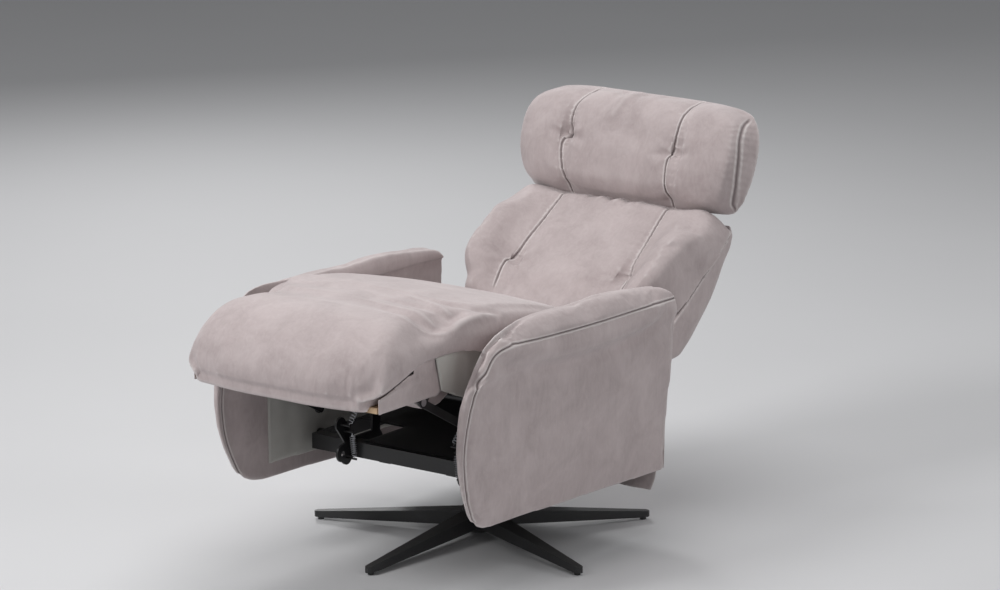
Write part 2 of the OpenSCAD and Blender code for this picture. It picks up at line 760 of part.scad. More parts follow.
// How far the legrest's front stands back at a place along X, and how much of that a point takes
function foot_back_off(x) =
    let (v = max(0, (x / cover_half_w - corner_start_share) / (1 - corner_start_share)))
    corner_r * (1 - sqrt(1 - v * v)) - foot_bulge * (1 - pow(x / cover_half_w, 2));
function foot_near(y, pad) = max(0, min(1, (knee.x - y - foot_arc_r - over) / pad[2]));

// One cut through a long pad: the cover overhangs the core and rounds off towards the sides
function pad_cut(outline, x, covered, pad) =
    let (
        s = abs(x),
        k = cover_keep(s),
        crown = seat_crown * (1 - pow(s / cover_half_w, 2))
    )
    [for (p = outline)
        let (
            edge = pad[2] > 0 ? foot_border(p.x) : seat_border(p.x),
            mid = p[2] == 1 ? knee_z + border_rise + cover_mid : edge + cover_mid,
            rise = p.y > mid ? crown * min(1, (p.y - mid) / cover_t * 2) : 0,
            back_off = pad[2] == 0 || (p[2] == 2 && !covered) ? 0 : foot_back_off(s) * foot_near(p.x, pad),
            q = covered && p[2] == 1 ? knee_point(p, k, pad) : [p.x, covered ? max(p.y, edge) : p.y],
            z = s > core_half_w && p[2] != 1 ? mid + (q.y + rise - mid) * k
                : s > core_half_w ? q.y : q.y + rise
        )
        [x, q.x + back_off, z]];

function pad_rings(outline, pad) =
    let (
        inner = [for (s = [0.33, 0.66, 1]) s * core_half_w],
        outer = [wrap_x, lining_x,
            for (u = cover_round_shares) core_half_w + u * (cover_half_w - core_half_w)]
    )
    [for (i = [len(outer) - 1:-1:0]) pad_cut(outline, -outer[i], true, pad),
        pad_cut(outline, -core_half_w, true, pad),
        for (i = [len(inner) - 1:-1:0]) pad_cut(outline, -inner[i], false, pad),
        pad_cut(outline, 0, false, pad),
        for (x = inner) pad_cut(outline, x, false, pad),
        pad_cut(outline, core_half_w, true, pad),
        for (x = outer) pad_cut(outline, x, true, pad)];

module seat_cushion() {
    color(fabric) loft(pad_rings(seat_outline, seat_pad), "strip");
}

module legrest_pad() {
    color(fabric) loft(pad_rings(foot_outline, foot_pad), "strip");
}

module seat_lining(left) {
    rear = rear_tube.x - rear_tube_r - over;
    up = cover_lift(lining_x) - seat_gap;
    a = seat_outline[len(seat_outline) - 1];
    b = seat_under_rear;
    color(lining) on_side(left) plate(lining_x, cloth_t) polygon([
        [knee.x - 20, seat_border(a.x) + up], knee - [2, 52], knee - [-50, 75], knee - [-90, 90],
        [rear, rear_tube.y - 34],
        [rear, along([a.x, seat_border(a.x)], [b.x, seat_border(b.x)], rear) + up],
        [a.x, seat_border(a.x) + up]]);
}

module legrest_wrap(left) {
    p0 = -knee_y - foot_l * 0.89;
    y0 = p0 + foot_back_off(wrap_x + cloth_t) * foot_near(p0, foot_pad);
    y1 = knee.x - foot_arc_r - 6;
    up = cover_lift(wrap_x) - seat_gap;
    y2 = knee.x - foot_arc_r + (knee_r - border_rise - cover_mid) * (1 - cover_keep(wrap_x + cloth_t)) + over;
    color(fabric) on_side(left) plate(wrap_x, cloth_t) polygon([
        [y0, foot_low - over], [knee.x - 20, foot_low - over], [knee.x - 2, knee.y - 45],
        [knee.x - 24, seat_border(knee.x) + up], [y2 + over, seat_border(knee.x) + up],
        [y2, knee_z + foot_pad[1] + up], [y1, foot_border(y1) + up], [y0, foot_border(p0) + up]]);
}

// Seat frame
module seat_rail(left) {
    color(black) on_side(left) plate(rail_x, ear_t) difference() {
        union() {
            bar(rail_rear, rail_front, rail_w);
            bar(rail_front, knee, ear_w);
            translate(shaft) circle(r = shaft_r * 2);
            bar(shaft, [shaft.x, along(rail_front, rail_rear, shaft.x)], shaft_r * 4);
        }
        translate(knee) circle(r = pin_r + fit);
        translate(shaft) circle(r = shaft_r + fit);
        translate(rear_tube) circle(r = rear_tube_r + fit);
    }
}

module seat_tubes() {
    end = seat_ear_x + ear_t;
    color(black) {
        pin(-rail_x, rail_x, front_tube, front_tube_r);
        pin(-end, end, rear_tube, rear_tube_r);
        both_sides() plate(seat_ear_x, ear_t) difference() {
            bar(rear_tube, recline, ear_w);
            translate(recline) circle(r = bolt_r + fit);
        }
    }
}

module seat_straps() {
    a = seat_outline[len(seat_outline) - 1];
    b = seat_outline[0];
    slope = atan2(b.y - a.y, b.x - a.x);
    step = norm(b - a) / strap_count;
    color(black) translate([0, a.x, a.y]) rotate([slope, 0, 0]) for (i = [0:strap_count - 1])
        translate([-rail_x + seat_gap, i * step + (step - strap_w) / 2, -strap_t - seat_gap])
            cube([2 * (rail_x - seat_gap), strap_w, strap_t]);
}

module legrest_pins() {
    color(bright) both_sides() {
        pin(core_half_w + seat_gap, crank_x + ear_t + head_t, knee, pin_r);
        pin(core_half_w + seat_gap, rail_x - seat_gap, knee, head_r);
        pin(rail_x + ear_t + seat_gap, crank_x - seat_gap, knee, head_r);
        pin(crank_x + ear_t + fit, crank_x + ear_t + head_t, knee, head_r);
    }
}

// Cross shaft and links
module crank_shaft() {
    color(black) {
        pin(-crank_x - ear_t, crank_x + ear_t, shaft, shaft_r);
        both_sides() {
            plate(crank_x, ear_t) difference() {
                bar(shaft, crank_pivot, crank_w);
                translate(crank_pivot) circle(r = pin_r + fit);
            }
            plate(fork_x - ear_t - core_gap, ear_t) bar(shaft, bush_pivot, link_w);
            pin(fork_x - core_gap, fork_x + chassis_t + core_gap, bush_pivot, pin_r);
            plate(spring_x + spring_d / 2 + over, ear_t) bar(shaft, spring_pivot, link_w * 0.8);
            pin(spring_x - spring_d / 3, spring_x + spring_d / 2 + over, spring_pivot, lug_r);
        }
    }
}

module slot_bushes() {
    color(nylon) both_sides() difference() {
        pin(fork_x - core_gap + seat_gap, fork_x + chassis_t + core_gap, bush_pivot, bush_r);
        pin(fork_x - 2 * core_gap, fork_x + chassis_t + 2 * core_gap, bush_pivot, pin_r + fit);
    }
}

module push_links() {
    color(black) both_sides() plate(link_x, ear_t) difference() {
        bar(crank_pivot, link_pivot, link_w);
        translate(crank_pivot) circle(r = pin_r + fit);
        translate(link_pivot) circle(r = pin_r + fit);
    }
}

module link_pin(p) {
    inner = link_x - head_t;
    outer = crank_x + ear_t + head_t;
    pin(inner, outer, p, pin_r);
    pin(inner, link_x - fit, p, head_r);
    pin(crank_x + ear_t + fit, outer, p, head_r);
}

module link_pins() {
    color(bright) both_sides() link_pin(link_pivot);
}

module legrest_bracket(left) {
    arm_end = [board_y0 + ear_w, foot_low + foot_arm_w / 2];
    color(black) on_side(left) plate(crank_x, ear_t) difference() {
        union() {
            bar(knee, link_pivot, ear_w);
            bar(link_pivot, [link_pivot.x - ear_w, arm_end.y], foot_arm_w);
            bar([link_pivot.x - ear_w, arm_end.y], arm_end, foot_arm_w);
        }
        translate(knee) circle(r = pin_r + fit);
        translate(link_pivot) circle(r = pin_r + fit);
    }
}

module legrest_board() {
    half = crank_x - seat_gap;
    color(ply) translate([-half, board_y0, foot_low - seat_gap])
        cube([2 * half, board_y1 - board_y0, board_t]);
}

// Back
function side_round(s) = s >= 1 ? 0 : pow(1 - pow(s, 6), 0.5);
function bump(s, mid, spread) = abs(s - mid) >= spread ? 0 : pow(cos(90 * (s - mid) / spread), 2);

// One cut through an upright pad, with its flat side at the rear; depth counts forwards
function upright_cut(z, half, front, rear, swell, seam, side_dir) =
    [for (s = pad_x_shares)
        let (
            a = abs(s),
            crest = front + swell * bump(a, bolster_mid_share, bolster_spread_share),
            groove = abs(a - seam_share) < 0.01 ? seam : 0,
            depth = rear + (crest - groove - rear) * side_round(a)
        )
        [s * half * side_dir, -depth * side_dir, z],
        [0, -rear * side_dir, z]];

function tuft(z, at) = tuft_depth * exp(-pow((z - at) / tuft_reach, 2));

module back_cushion() {
    heel = [for (a = heel_angles)
        upright_cut(heel_r * sin(a), heel_half_w, heel_r * cos(a), cushion_back, 0, 0, 1)];
    body = [for (i = [0:len(back_cut_shares) - 1])
        let (
            z = back_cut_shares[i] * back_l,
            half = heel_half_w + back_width_shares[i] * (back_half_w - heel_half_w),
            seam = back_seam_shares[i] * (seam_depth + tuft(z, back_tuft_share * back_l))
        )
        upright_cut(z, half, back_front * back_front_shares[i], cushion_back,
            bolster * back_bolster_shares[i], seam, 1)];
    color(fabric) leaned(recline, back_angle) loft([each heel, each body], "fan");
}

module back_shell() {
    cut_angles = [0, 14, 32, 55, 90, 125, 148, 166, 180];
    cuts = [for (i = [0:len(shell_cut_shares) - 1])
        let (
            z = shell_cut_shares[i] * back_l,
            half = shell_width_shares[i] * back_half_w,
            deep = shell_depth * shell_depth_shares[i] + shell_front,
            inner = half - shell_wall,
            hollow = max(deep - shell_wall, over)
        )
        [for (a = cut_angles)
            [half * sign(cos(a)) * pow(abs(cos(a)), 0.35), deep * pow(sin(a), 0.5) - shell_front, z],
            for (i = [len(cut_angles) - 1:-1:0])
                let (a = cut_angles[i])
                [inner * sign(cos(a)) * pow(abs(cos(a)), 0.35), hollow * pow(sin(a), 0.5) - shell_front, z]]];
    color(fabric) leaned(recline, back_angle) loft(cuts, "strip");
}

module back_frame() {
    leaf_x = board_half_w - leaf_t - over;
    color(black) leaned(recline, back_angle) {
        both_sides() translate([frame_x, -frame_plane, frame_low])
            cylinder(r = frame_r, h = frame_high - frame_low);
        for (z = [frame_low, (frame_low + frame_high) / 2, frame_high])
            translate([-frame_x, -frame_plane, z]) rotate([0, 90, 0]) cylinder(r = frame_r, h = 2 * frame_x);
    }
    a = back_point(frame_high, frame_plane);
    b = back_point(back_l + 7, frame_plane + 5);
    color(black) both_sides() plate(leaf_x, leaf_t) difference() {
        union() {
            bar(a, b, leaf_w);
            bar(b, neck, leaf_w);
        }
        translate(neck) circle(r = neck_pin_r + fit);
    }
}

// A point of the reclined back in the side view, from its height and its depth forwards
function back_point(up, out) =
    recline + up * [cos(back_angle), sin(back_angle)] + out * [-sin(back_angle), cos(back_angle)];
function head_point(up, out) =
    neck + up * [cos(head_angle), sin(head_angle)] + out * [-sin(head_angle), cos(head_angle)];

module back_straps() {
    color(black) leaned(recline, back_angle) for (s = strap_levels_shares)
        translate([-frame_x, -shell_front, s * back_l - strap_w / 2])
            cube([2 * frame_x, strap_t, strap_w]);
}

module back_hinge(left) {
    color(black) on_side(left) plate(hinge_x, hinge_t) difference() {
        bar(recline, back_point(hinge_top, frame_plane), frame_r * 2);
        translate(recline) circle(r = bolt_r + fit);
    }
}

// Head
module head_cushion() {
    rear = head_board_t / 2 + seat_gap;
    cuts = [for (i = [0:len(head_cut_shares) - 1])
        let (
            z = head_cut_shares[i] * head_h,
            seam = head_seam_shares[i] * (seam_depth + tuft(z, head_tuft_share * head_h)),
            front = rear + (head_depth) * head_front_shares[i]
        )
        upright_cut(z, head_half_w * head_width_shares[i], front, rear, 0, seam, 1)];
    color(fabric) leaned(neck, head_angle) loft(cuts, "fan");
}

module head_rear_pad() {
    rear = head_board_t / 2 + seat_gap;
    cuts = [for (i = [0:len(nape_cut_shares) - 1])
        upright_cut(nape_cut_shares[i] * head_h, head_half_w * nape_width_shares[i],
            rear + nape_depth * nape_depth_shares[i], rear, 0, 0, -1)];
    color(fabric) leaned(neck, head_angle) loft(cuts, "fan");
}

module head_board() {
    color(ply) leaned(neck, head_angle) translate([0, head_board_t / 2, 0]) rotate([90, 0, 0])
        linear_extrude(head_board_t) {
            translate([board_corner - board_half_w, board_low])
                square([2 * (board_half_w - board_corner), board_high - board_low]);
            translate([-board_half_w, board_low + board_corner])
                square([2 * board_half_w, board_high - board_low - 2 * board_corner]);
            for (x = [-1, 1], z = [board_low + board_corner, board_high - board_corner])
                translate([x * (board_half_w - board_corner), z]) circle(r = board_corner);
        }
}

module head_leaf(left) {
    color(black) on_side(left) plate(board_half_w + seat_gap, leaf_t) difference() {
        bar(neck, head_point(leaf_l, 0), leaf_w);
        translate(neck) circle(r = neck_pin_r + fit);
    }
}

module neck_pins() {
    color(bright) both_sides() {
        x0 = board_half_w - leaf_t - 2 * over;
        x1 = board_half_w + leaf_t + 2 * over;
        pin(x0, x1, neck, neck_pin_r);
    }
}

star_base();
floor_glides();
swivel_post();
thrust_ring();
swivel_plate();
swivel_nut();
mid_rails();
cross_rail_front();
cross_rail_rear();
side_plate(true);  // side_plate_left
side_plate(false);  // side_plate_right
front_bracket(true);  // front_bracket_left
front_bracket(false);  // front_bracket_right
arm_spacers();
arm_panel(true);  // arm_panel_left
arm_panel(false);  // arm_panel_right
arm_pad(true);  // arm_pad_left
arm_pad(false);  // arm_pad_right
arm_lining(true);  // arm_lining_left
arm_lining(false);  // arm_lining_right
rear_apron();
recline_bolts();
latch_spring(true);  // latch_spring_left
latch_spring(false);  // latch_spring_right
lift_spring(true);  // lift_spring_left
lift_spring(false);  // lift_spring_right
seat_rail(true);  // seat_rail_left
seat_rail(false);  // seat_rail_right
seat_tubes();
seat_straps();
seat_cushion();
seat_lining(true);  // seat_lining_left
seat_lining(false);  // seat_lining_right
legrest_pins();
crank_shaft();
slot_bushes();
push_links();
legrest_bracket(true);  // legrest_bracket_left
legrest_bracket(false);  // legrest_bracket_right
legrest_board();
legrest_pad();
legrest_wrap(true);  // legrest_wrap_left
legrest_wrap(false);  // legrest_wrap_right
link_pins();
back_frame();
back_straps();
back_hinge(true);  // back_hinge_left
back_hinge(false);  // back_hinge_right
back_cushion();
back_shell();
head_board();
head_leaf(true);  // head_leaf_left
head_leaf(false);  // head_leaf_right
head_cushion();
head_rear_pad();
neck_pins();
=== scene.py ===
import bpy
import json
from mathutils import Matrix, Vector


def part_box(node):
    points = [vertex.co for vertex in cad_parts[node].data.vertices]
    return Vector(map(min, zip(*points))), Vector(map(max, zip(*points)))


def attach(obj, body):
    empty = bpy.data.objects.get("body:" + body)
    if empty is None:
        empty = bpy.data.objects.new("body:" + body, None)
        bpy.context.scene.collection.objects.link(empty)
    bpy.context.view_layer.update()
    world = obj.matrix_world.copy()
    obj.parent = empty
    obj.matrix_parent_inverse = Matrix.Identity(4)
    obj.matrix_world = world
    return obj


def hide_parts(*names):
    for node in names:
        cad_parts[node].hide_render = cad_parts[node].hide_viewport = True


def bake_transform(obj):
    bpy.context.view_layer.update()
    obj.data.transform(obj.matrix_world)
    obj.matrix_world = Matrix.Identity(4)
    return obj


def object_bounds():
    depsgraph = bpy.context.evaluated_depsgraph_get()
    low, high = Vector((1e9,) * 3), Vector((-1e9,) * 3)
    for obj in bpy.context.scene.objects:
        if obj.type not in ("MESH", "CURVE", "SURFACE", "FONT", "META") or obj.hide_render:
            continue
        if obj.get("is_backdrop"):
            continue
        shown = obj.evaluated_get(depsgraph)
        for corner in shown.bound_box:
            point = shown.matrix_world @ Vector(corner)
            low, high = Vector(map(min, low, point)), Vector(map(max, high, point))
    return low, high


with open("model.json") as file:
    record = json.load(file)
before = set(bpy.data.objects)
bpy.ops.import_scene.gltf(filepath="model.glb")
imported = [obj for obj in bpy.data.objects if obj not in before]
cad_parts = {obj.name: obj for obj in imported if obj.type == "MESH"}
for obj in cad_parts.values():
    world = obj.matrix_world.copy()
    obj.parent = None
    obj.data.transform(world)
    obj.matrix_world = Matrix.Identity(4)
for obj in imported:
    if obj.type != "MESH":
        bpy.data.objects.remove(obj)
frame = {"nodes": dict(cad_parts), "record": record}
cadBox = [list(corner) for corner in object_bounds()]

import json
import math

import bmesh
import bpy
import numpy as np
from mathutils import Matrix, Vector, noise

bpy.ops.object.select_all(action="DESELECT")
scene = bpy.context.scene
nodes = frame["nodes"]
scene.view_settings.view_transform = "Standard"

# the camera stands where the photographer stood; the lamps are large and soft
cameraView = {"azimuth": 37.55, "elevation": 13.90, "roll": -0.61, "lens": 182.45,
              "distance": 11.143, "across": -0.0446, "up": -0.5249}


def addCamera(view):
    turnA, turnE, roll = (math.radians(view[k]) for k in ("azimuth", "elevation", "roll"))
    back = Vector((math.sin(turnA) * math.cos(turnE), -math.cos(turnA) * math.cos(turnE), math.sin(turnE)))
    right = Vector((math.cos(turnA), math.sin(turnA), 0))
    upright = Matrix((right, back.cross(right), back))
    rolled = Matrix(((math.cos(roll), math.sin(roll), 0), (-math.sin(roll), math.cos(roll), 0), (0, 0, 1))) @ upright
    place = rolled.transposed() @ Vector((-view["across"], -view["up"], view["distance"]))
    data = bpy.data.cameras.new("photoCamera")
    data.lens, data.sensor_width = view["lens"], 36
    data.clip_end = 200
    cam = bpy.data.objects.new("photoCamera", data)
    scene.collection.objects.link(cam)
    cam.matrix_world = Matrix.Translation(place) @ rolled.transposed().to_4x4()
    scene.camera = cam


addCamera(cameraView)

studio = {"keyPower": 118, "fillPower": 22, "rimPower": 46, "topPower": 66, "world": 0.23, "floor": (0.60, 0.60, 0.61)}


def addLamp(name, place, size, power, aim=(0, 0.05, 0.45)):
    data = bpy.data.lights.new(name, "AREA")
    data.shape, data.size, data.energy = "DISK", size, power
    lamp = bpy.data.objects.new(name, data)
    lamp.location = place
    lamp.rotation_euler = (Vector(place) - Vector(aim)).to_track_quat("Z", "Y").to_euler()
    scene.collection.objects.link(lamp)


addLamp("keyLamp", (-1.6, -3.4, 3.2), 1.8, studio["keyPower"])
addLamp("fillLamp", (3.6, -1.2, 1.7), 2.2, studio["fillPower"])
addLamp("rimLampLeft", (-3.2, 2.6, 2.4), 1.2, studio["rimPower"])
addLamp("rimLampRight", (2.6, 3.2, 2.6), 1.2, studio["rimPower"] * 0.7)
addLamp("topLamp", (0, 0.3, 4.2), 2.6, studio["topPower"])

world = bpy.data.worlds.new("studioWorld")
scene.world = world
world.use_nodes = True
world.node_tree.nodes["Background"].inputs["Color"].default_value = (0.80, 0.81, 0.83, 1)
world.node_tree.nodes["Background"].inputs["Strength"].default_value = studio["world"]


# shader helpers
class Shelf:  # puts nodes into a tree one after another and links them
    def __init__(self, tree):
        self.tree = tree
        self.column = 0

    def add(self, kind, links=None, **values):
        node = self.tree.nodes.new(kind)
        node.location = (self.column * 190, -(self.column % 4) * 160)
        self.column += 1
        for key, value in values.items():
            setattr(node, key, value)
        for socket, value in (links or {}).items():
            target = node.inputs[socket]
            if isinstance(value, bpy.types.NodeSocket):
                self.tree.links.new(value, target)
            else:
                target.default_value = value
        return node


def newGroup(name, inputs, outputs):
    tree = bpy.data.node_groups.new(name, "ShaderNodeTree")
    for label, kind, value in inputs:
        socket = tree.interface.new_socket(name=label, in_out="INPUT", socket_type=kind)
        if value is not None:
            socket.default_value = value
    for label, kind in outputs:
        tree.interface.new_socket(name=label, in_out="OUTPUT", socket_type=kind)
    shelf = Shelf(tree)
    return tree, shelf, shelf.add("NodeGroupInput").outputs, shelf.add("NodeGroupOutput").inputs


def buildNapGroup():  # brushed nap: clouds, soft streaks and fine fibre
    tree, shelf, given, out = newGroup(
        "brushedNap",
        [("Vector", "NodeSocketVector", None), ("Cloud Scale", "NodeSocketFloat", 14.0),
         ("Streak Scale", "NodeSocketFloat", 60.0), ("Fibre Scale", "NodeSocketFloat", 900.0)],
        [("Clouds", "NodeSocketFloat"), ("Streaks", "NodeSocketFloat"), ("Fibre", "NodeSocketFloat")])
    clouds = shelf.add("ShaderNodeTexNoise", {"Vector": given["Vector"], "Scale": given["Cloud Scale"],
                                             "Detail": 5.0, "Roughness": 0.62, "Distortion": 0.6})
    shaped = shelf.add("ShaderNodeMapRange", {"Value": clouds.outputs["Fac"], "From Min": 0.33, "From Max": 0.68})
    tall = shelf.add("ShaderNodeMapping", {"Vector": given["Vector"], "Scale": (1.0, 1.0, 0.34)})
    streaks = shelf.add("ShaderNodeTexNoise", {"Vector": tall.outputs["Vector"], "Scale": given["Streak Scale"],
                                              "Detail": 4.0, "Roughness": 0.7, "Distortion": 1.2})
    shapedStreaks = shelf.add("ShaderNodeMapRange", {"Value": streaks.outputs["Fac"],
                                                     "From Min": 0.36, "From Max": 0.7})
    fibre = shelf.add("ShaderNodeTexNoise", {"Vector": given["Vector"], "Scale": given["Fibre Scale"],
                                            "Detail": 3.0, "Roughness": 0.75})
    for label, node, port in (("Clouds", shaped, "Result"), ("Streaks", shapedStreaks, "Result"),
                              ("Fibre", fibre, "Fac")):
        tree.links.new(node.outputs[port], out[label])
    return tree


def buildWeaveGroup():  # plain weave: threads over and under each other, and a slight unevenness
    tree, shelf, given, out = newGroup(
        "plainWeave",
        [("Vector", "NodeSocketVector", None), ("Threads", "NodeSocketFloat", 420.0)],
        [("Height", "NodeSocketFloat"), ("Slub", "NodeSocketFloat")])
    warp = shelf.add("ShaderNodeTexWave", {"Vector": given["Vector"], "Scale": given["Threads"], "Distortion": 1.5,
                                          "Detail": 1.0}, bands_direction="X")
    weft = shelf.add("ShaderNodeTexWave", {"Vector": given["Vector"], "Scale": given["Threads"], "Distortion": 1.5,
                                          "Detail": 1.0}, bands_direction="Y")
    both = shelf.add("ShaderNodeMath", {0: warp.outputs["Fac"], 1: weft.outputs["Fac"]}, operation="MULTIPLY")
    slub = shelf.add("ShaderNodeTexNoise", {"Vector": given["Vector"], "Scale": 26.0, "Detail": 4.0, "Roughness": 0.6})
    tree.links.new(both.outputs["Value"], out["Height"])
    tree.links.new(slub.outputs["Fac"], out["Slub"])
    return tree


def buildWearGroup():  # scuffs, a fine coat texture and dust on what faces up
    tree, shelf, given, out = newGroup(
        "shopWear",
        [("Vector", "NodeSocketVector", None), ("Grain Scale", "NodeSocketFloat", 700.0),
         ("Scuff Scale", "NodeSocketFloat", 30.0)],
        [("Grain", "NodeSocketFloat"), ("Scuffs", "NodeSocketFloat"), ("Dust", "NodeSocketFloat")])
    grain = shelf.add("ShaderNodeTexNoise", {"Vector": given["Vector"], "Scale": given["Grain Scale"],
                                            "Detail": 2.0, "Roughness": 0.6})
    long = shelf.add("ShaderNodeMapping", {"Vector": given["Vector"], "Scale": (0.3, 1.0, 1.0)})
    scuffs = shelf.add("ShaderNodeTexNoise", {"Vector": long.outputs["Vector"], "Scale": given["Scuff Scale"],
                                             "Detail": 8.0, "Roughness": 0.72})
    picked = shelf.add("ShaderNodeMapRange", {"Value": scuffs.outputs["Fac"], "From Min": 0.55, "From Max": 0.75})
    geometry = shelf.add("ShaderNodeNewGeometry")
    facing = shelf.add("ShaderNodeSeparateXYZ", {"Vector": geometry.outputs["Normal"]})
    upward = shelf.add("ShaderNodeMapRange", {"Value": facing.outputs["Z"], "From Min": 0.5, "From Max": 1.0})
    dust = shelf.add("ShaderNodeMath", {0: upward.outputs["Result"], 1: scuffs.outputs["Fac"]}, operation="MULTIPLY")
    tree.links.new(grain.outputs["Fac"], out["Grain"])
    tree.links.new(picked.outputs["Result"], out["Scuffs"])
    tree.links.new(dust.outputs["Value"], out["Dust"])
    return tree


napGroup, weaveGroup, wearGroup = buildNapGroup(), buildWeaveGroup(), buildWearGroup()


def startMaterial(name, **plain):
    material = bpy.data.materials.new(name)
    material.use_nodes = True
    shelf = Shelf(material.node_tree)
    surface = material.node_tree.nodes["Principled BSDF"]
    for socket, value in plain.items():
        surface.inputs[socket].default_value = value
    return material, shelf, surface, shelf.add("ShaderNodeTexCoord").outputs["Object"]


def colourMix(shelf, share, dark, light):
    return shelf.add("ShaderNodeMix", {0: share, 6: dark, 7: light}, data_type="RGBA").outputs[2]


def useGroup(shelf, tree, coords, **settings):
    group = shelf.add("ShaderNodeGroup", node_tree=tree)
    shelf.tree.links.new(coords, group.inputs["Vector"])
    for label, value in settings.items():
        group.inputs[label].default_value = value
    return group.outputs


def times(shelf, a, b):
    return shelf.add("ShaderNodeMath", {0: a, 1: b}, operation="MULTIPLY").outputs["Value"]


def finishSurface(shelf, surface, colour, rough, height, strength, distance):  # rough is a value and its range
    value, low, high = rough
    ranged = shelf.add("ShaderNodeMapRange", {"Value": value, "To Min": low, "To Max": high})
    bump = shelf.add("ShaderNodeBump", {"Height": height, "Strength": strength, "Distance": distance})
    for source, socket in ((colour, "Base Color"), (ranged.outputs["Result"], "Roughness"),
                           (bump.outputs["Normal"], "Normal")):
        shelf.tree.links.new(source, surface.inputs[socket])


def makeMicrofibre(name, look):  # nubuck-like upholstery, with a painted highlight on its convex edges and seam lips and painted shade in its seam grooves
    material, shelf, surface, coords = startMaterial(name, **{"Sheen Weight": 0.28, "Sheen Roughness": 0.45,
                                                              "Specular IOR Level": 0.25})
    nap = useGroup(shelf, napGroup, coords, **{"Cloud Scale": look["cloudScale"], "Streak Scale": look["streakScale"]})
    clouds = colourMix(shelf, nap["Clouds"], look["dark"], look["light"])
    streaked = colourMix(shelf, times(shelf, nap["Streaks"], look["streaks"]), clouds, look["pale"])
    # painted highlight on convex edges and seam lips, in the pale colour
    paintedHighlight = shelf.add("ShaderNodeAttribute", attribute_name="paintedHighlight").outputs["Fac"]
    highlighted = colourMix(shelf, times(shelf, paintedHighlight, look["paintedHighlight"]), streaked, look["pale"])
    # painted shade in the seam grooves, in the dark seam colour
    sewn = shelf.add("ShaderNodeAttribute", attribute_name="sewn").outputs["Fac"]
    final = colourMix(shelf, times(shelf, sewn, look["sewn"]), highlighted, look["seam"])
    heights = shelf.add("ShaderNodeMath", {0: nap["Streaks"], 1: 0.6, 2: nap["Fibre"]},
                        operation="MULTIPLY_ADD")
    finishSurface(shelf, surface, final, (nap["Streaks"], 0.76, 0.92), heights.outputs["Value"], 0.35, 0.0006)
    return material


def makeCloth(name, look):  # woven lining, webbing or dust cloth
    material, shelf, surface, coords = startMaterial(name, **{"Sheen Weight": look["sheen"],
                                                              "Specular IOR Level": 0.25})
    laid = shelf.add("ShaderNodeMapping", {"Vector": coords, "Rotation": look["laid"]})
    weave = useGroup(shelf, weaveGroup, laid.outputs["Vector"], Threads=look["threads"])
    base = colourMix(shelf, weave["Slub"], look["dark"], look["light"])
    threaded = colourMix(shelf, times(shelf, weave["Height"], 0.35), base, look["pale"])
    finishSurface(shelf, surface, threaded, (weave["Slub"], 0.8, 0.95), weave["Height"], 0.4, 0.0005)
    return material


def makeHard(name, look):  # painted steel, bare steel and moulded plastic
    material, shelf, surface, coords = startMaterial(name, **{"Specular IOR Level": 0.5})
    wear = useGroup(shelf, wearGroup, coords, **{"Grain Scale": look["grain"]})
    base = colourMix(shelf, times(shelf, wear["Scuffs"], look["scuffs"]), look["colour"], look["worn"])
    dusty = colourMix(shelf, times(shelf, wear["Dust"], look["dust"]), base, dustColour)
    metal = shelf.add("ShaderNodeMapRange", {"Value": wear["Scuffs"],
                                             "To Min": look["metal"], "To Max": look["metal"] * 0.9})
    shelf.tree.links.new(metal.outputs["Result"], surface.inputs["Metallic"])
    finishSurface(shelf, surface, dusty, (wear["Grain"], *look["rough"]), wear["Grain"],
                  look["bump"], 0.0004)
    return material


def makePlywood():
    material, shelf, surface, coords = startMaterial("rawPlywood")
    long = shelf.add("ShaderNodeMapping", {"Vector": coords, "Scale": (2.0, 30.0, 30.0)})
    rings = shelf.add("ShaderNodeTexNoise", {"Vector": long.outputs["Vector"], "Scale": 3.0, "Detail": 6.0,
                                             "Distortion": 1.4}).outputs["Fac"]
    colour = colourMix(shelf, rings, (0.42, 0.28, 0.16, 1), (0.68, 0.50, 0.32, 1))
    finishSurface(shelf, surface, colour, (rings, 0.55, 0.75), rings, 0.2, 0.0005)
    return material


dustColour = (0.30, 0.29, 0.28, 1)
# pale also colours the painted highlight, seam is the painted shade in seam grooves; the last two values set their
# strengths
microfibreLook = {"dark": (0.398, 0.332, 0.331, 1), "light": (0.503, 0.429, 0.427, 1), "pale": (0.66, 0.61, 0.60, 1),
                  "seam": (0.13, 0.105, 0.105, 1), "cloudScale": 11.0, "streakScale": 75.0, "streaks": 0.22, "paintedHighlight": 0.8,
                  "sewn": 0.75}
microfibre = makeMicrofibre("mauveMicrofibre", microfibreLook)
liningCloth = makeCloth("greyLining", {
    "dark": (0.44, 0.43, 0.40, 1), "light": (0.56, 0.55, 0.52, 1), "pale": (0.66, 0.65, 0.62, 1),
    "threads": 320.0, "sheen": 0.1, "laid": (0, math.radians(90), 0)})
dustCloth = makeCloth("blackDustCloth", {
    "dark": (0.012, 0.012, 0.013, 1), "light": (0.022, 0.022, 0.024, 1), "pale": (0.05, 0.05, 0.05, 1),
    "threads": 500.0, "sheen": 0.15, "laid": (0, 0, 0)})
webbingCloth = makeCloth("blackWebbing", {
    "dark": (0.018, 0.018, 0.019, 1), "light": (0.035, 0.035, 0.037, 1), "pale": (0.09, 0.09, 0.09, 1),
    "threads": 260.0, "sheen": 0.1, "laid": (0, 0, 0)})
chassisPaint = makeHard("blackPaintedSteel", {
    "colour": (0.013, 0.013, 0.014, 1), "worn": (0.05, 0.05, 0.052, 1), "scuffs": 0.5, "dust": 0.10,
    "metal": 0.0, "rough": (0.28, 0.42), "grain": 900.0, "bump": 0.10})
starPaint = makeHard("satinBlackStar", {
    "colour": (0.024, 0.024, 0.025, 1), "worn": (0.05, 0.05, 0.051, 1), "scuffs": 0.4, "dust": 0.12,
    "metal": 0.0, "rough": (0.36, 0.5), "grain": 1400.0, "bump": 0.18})
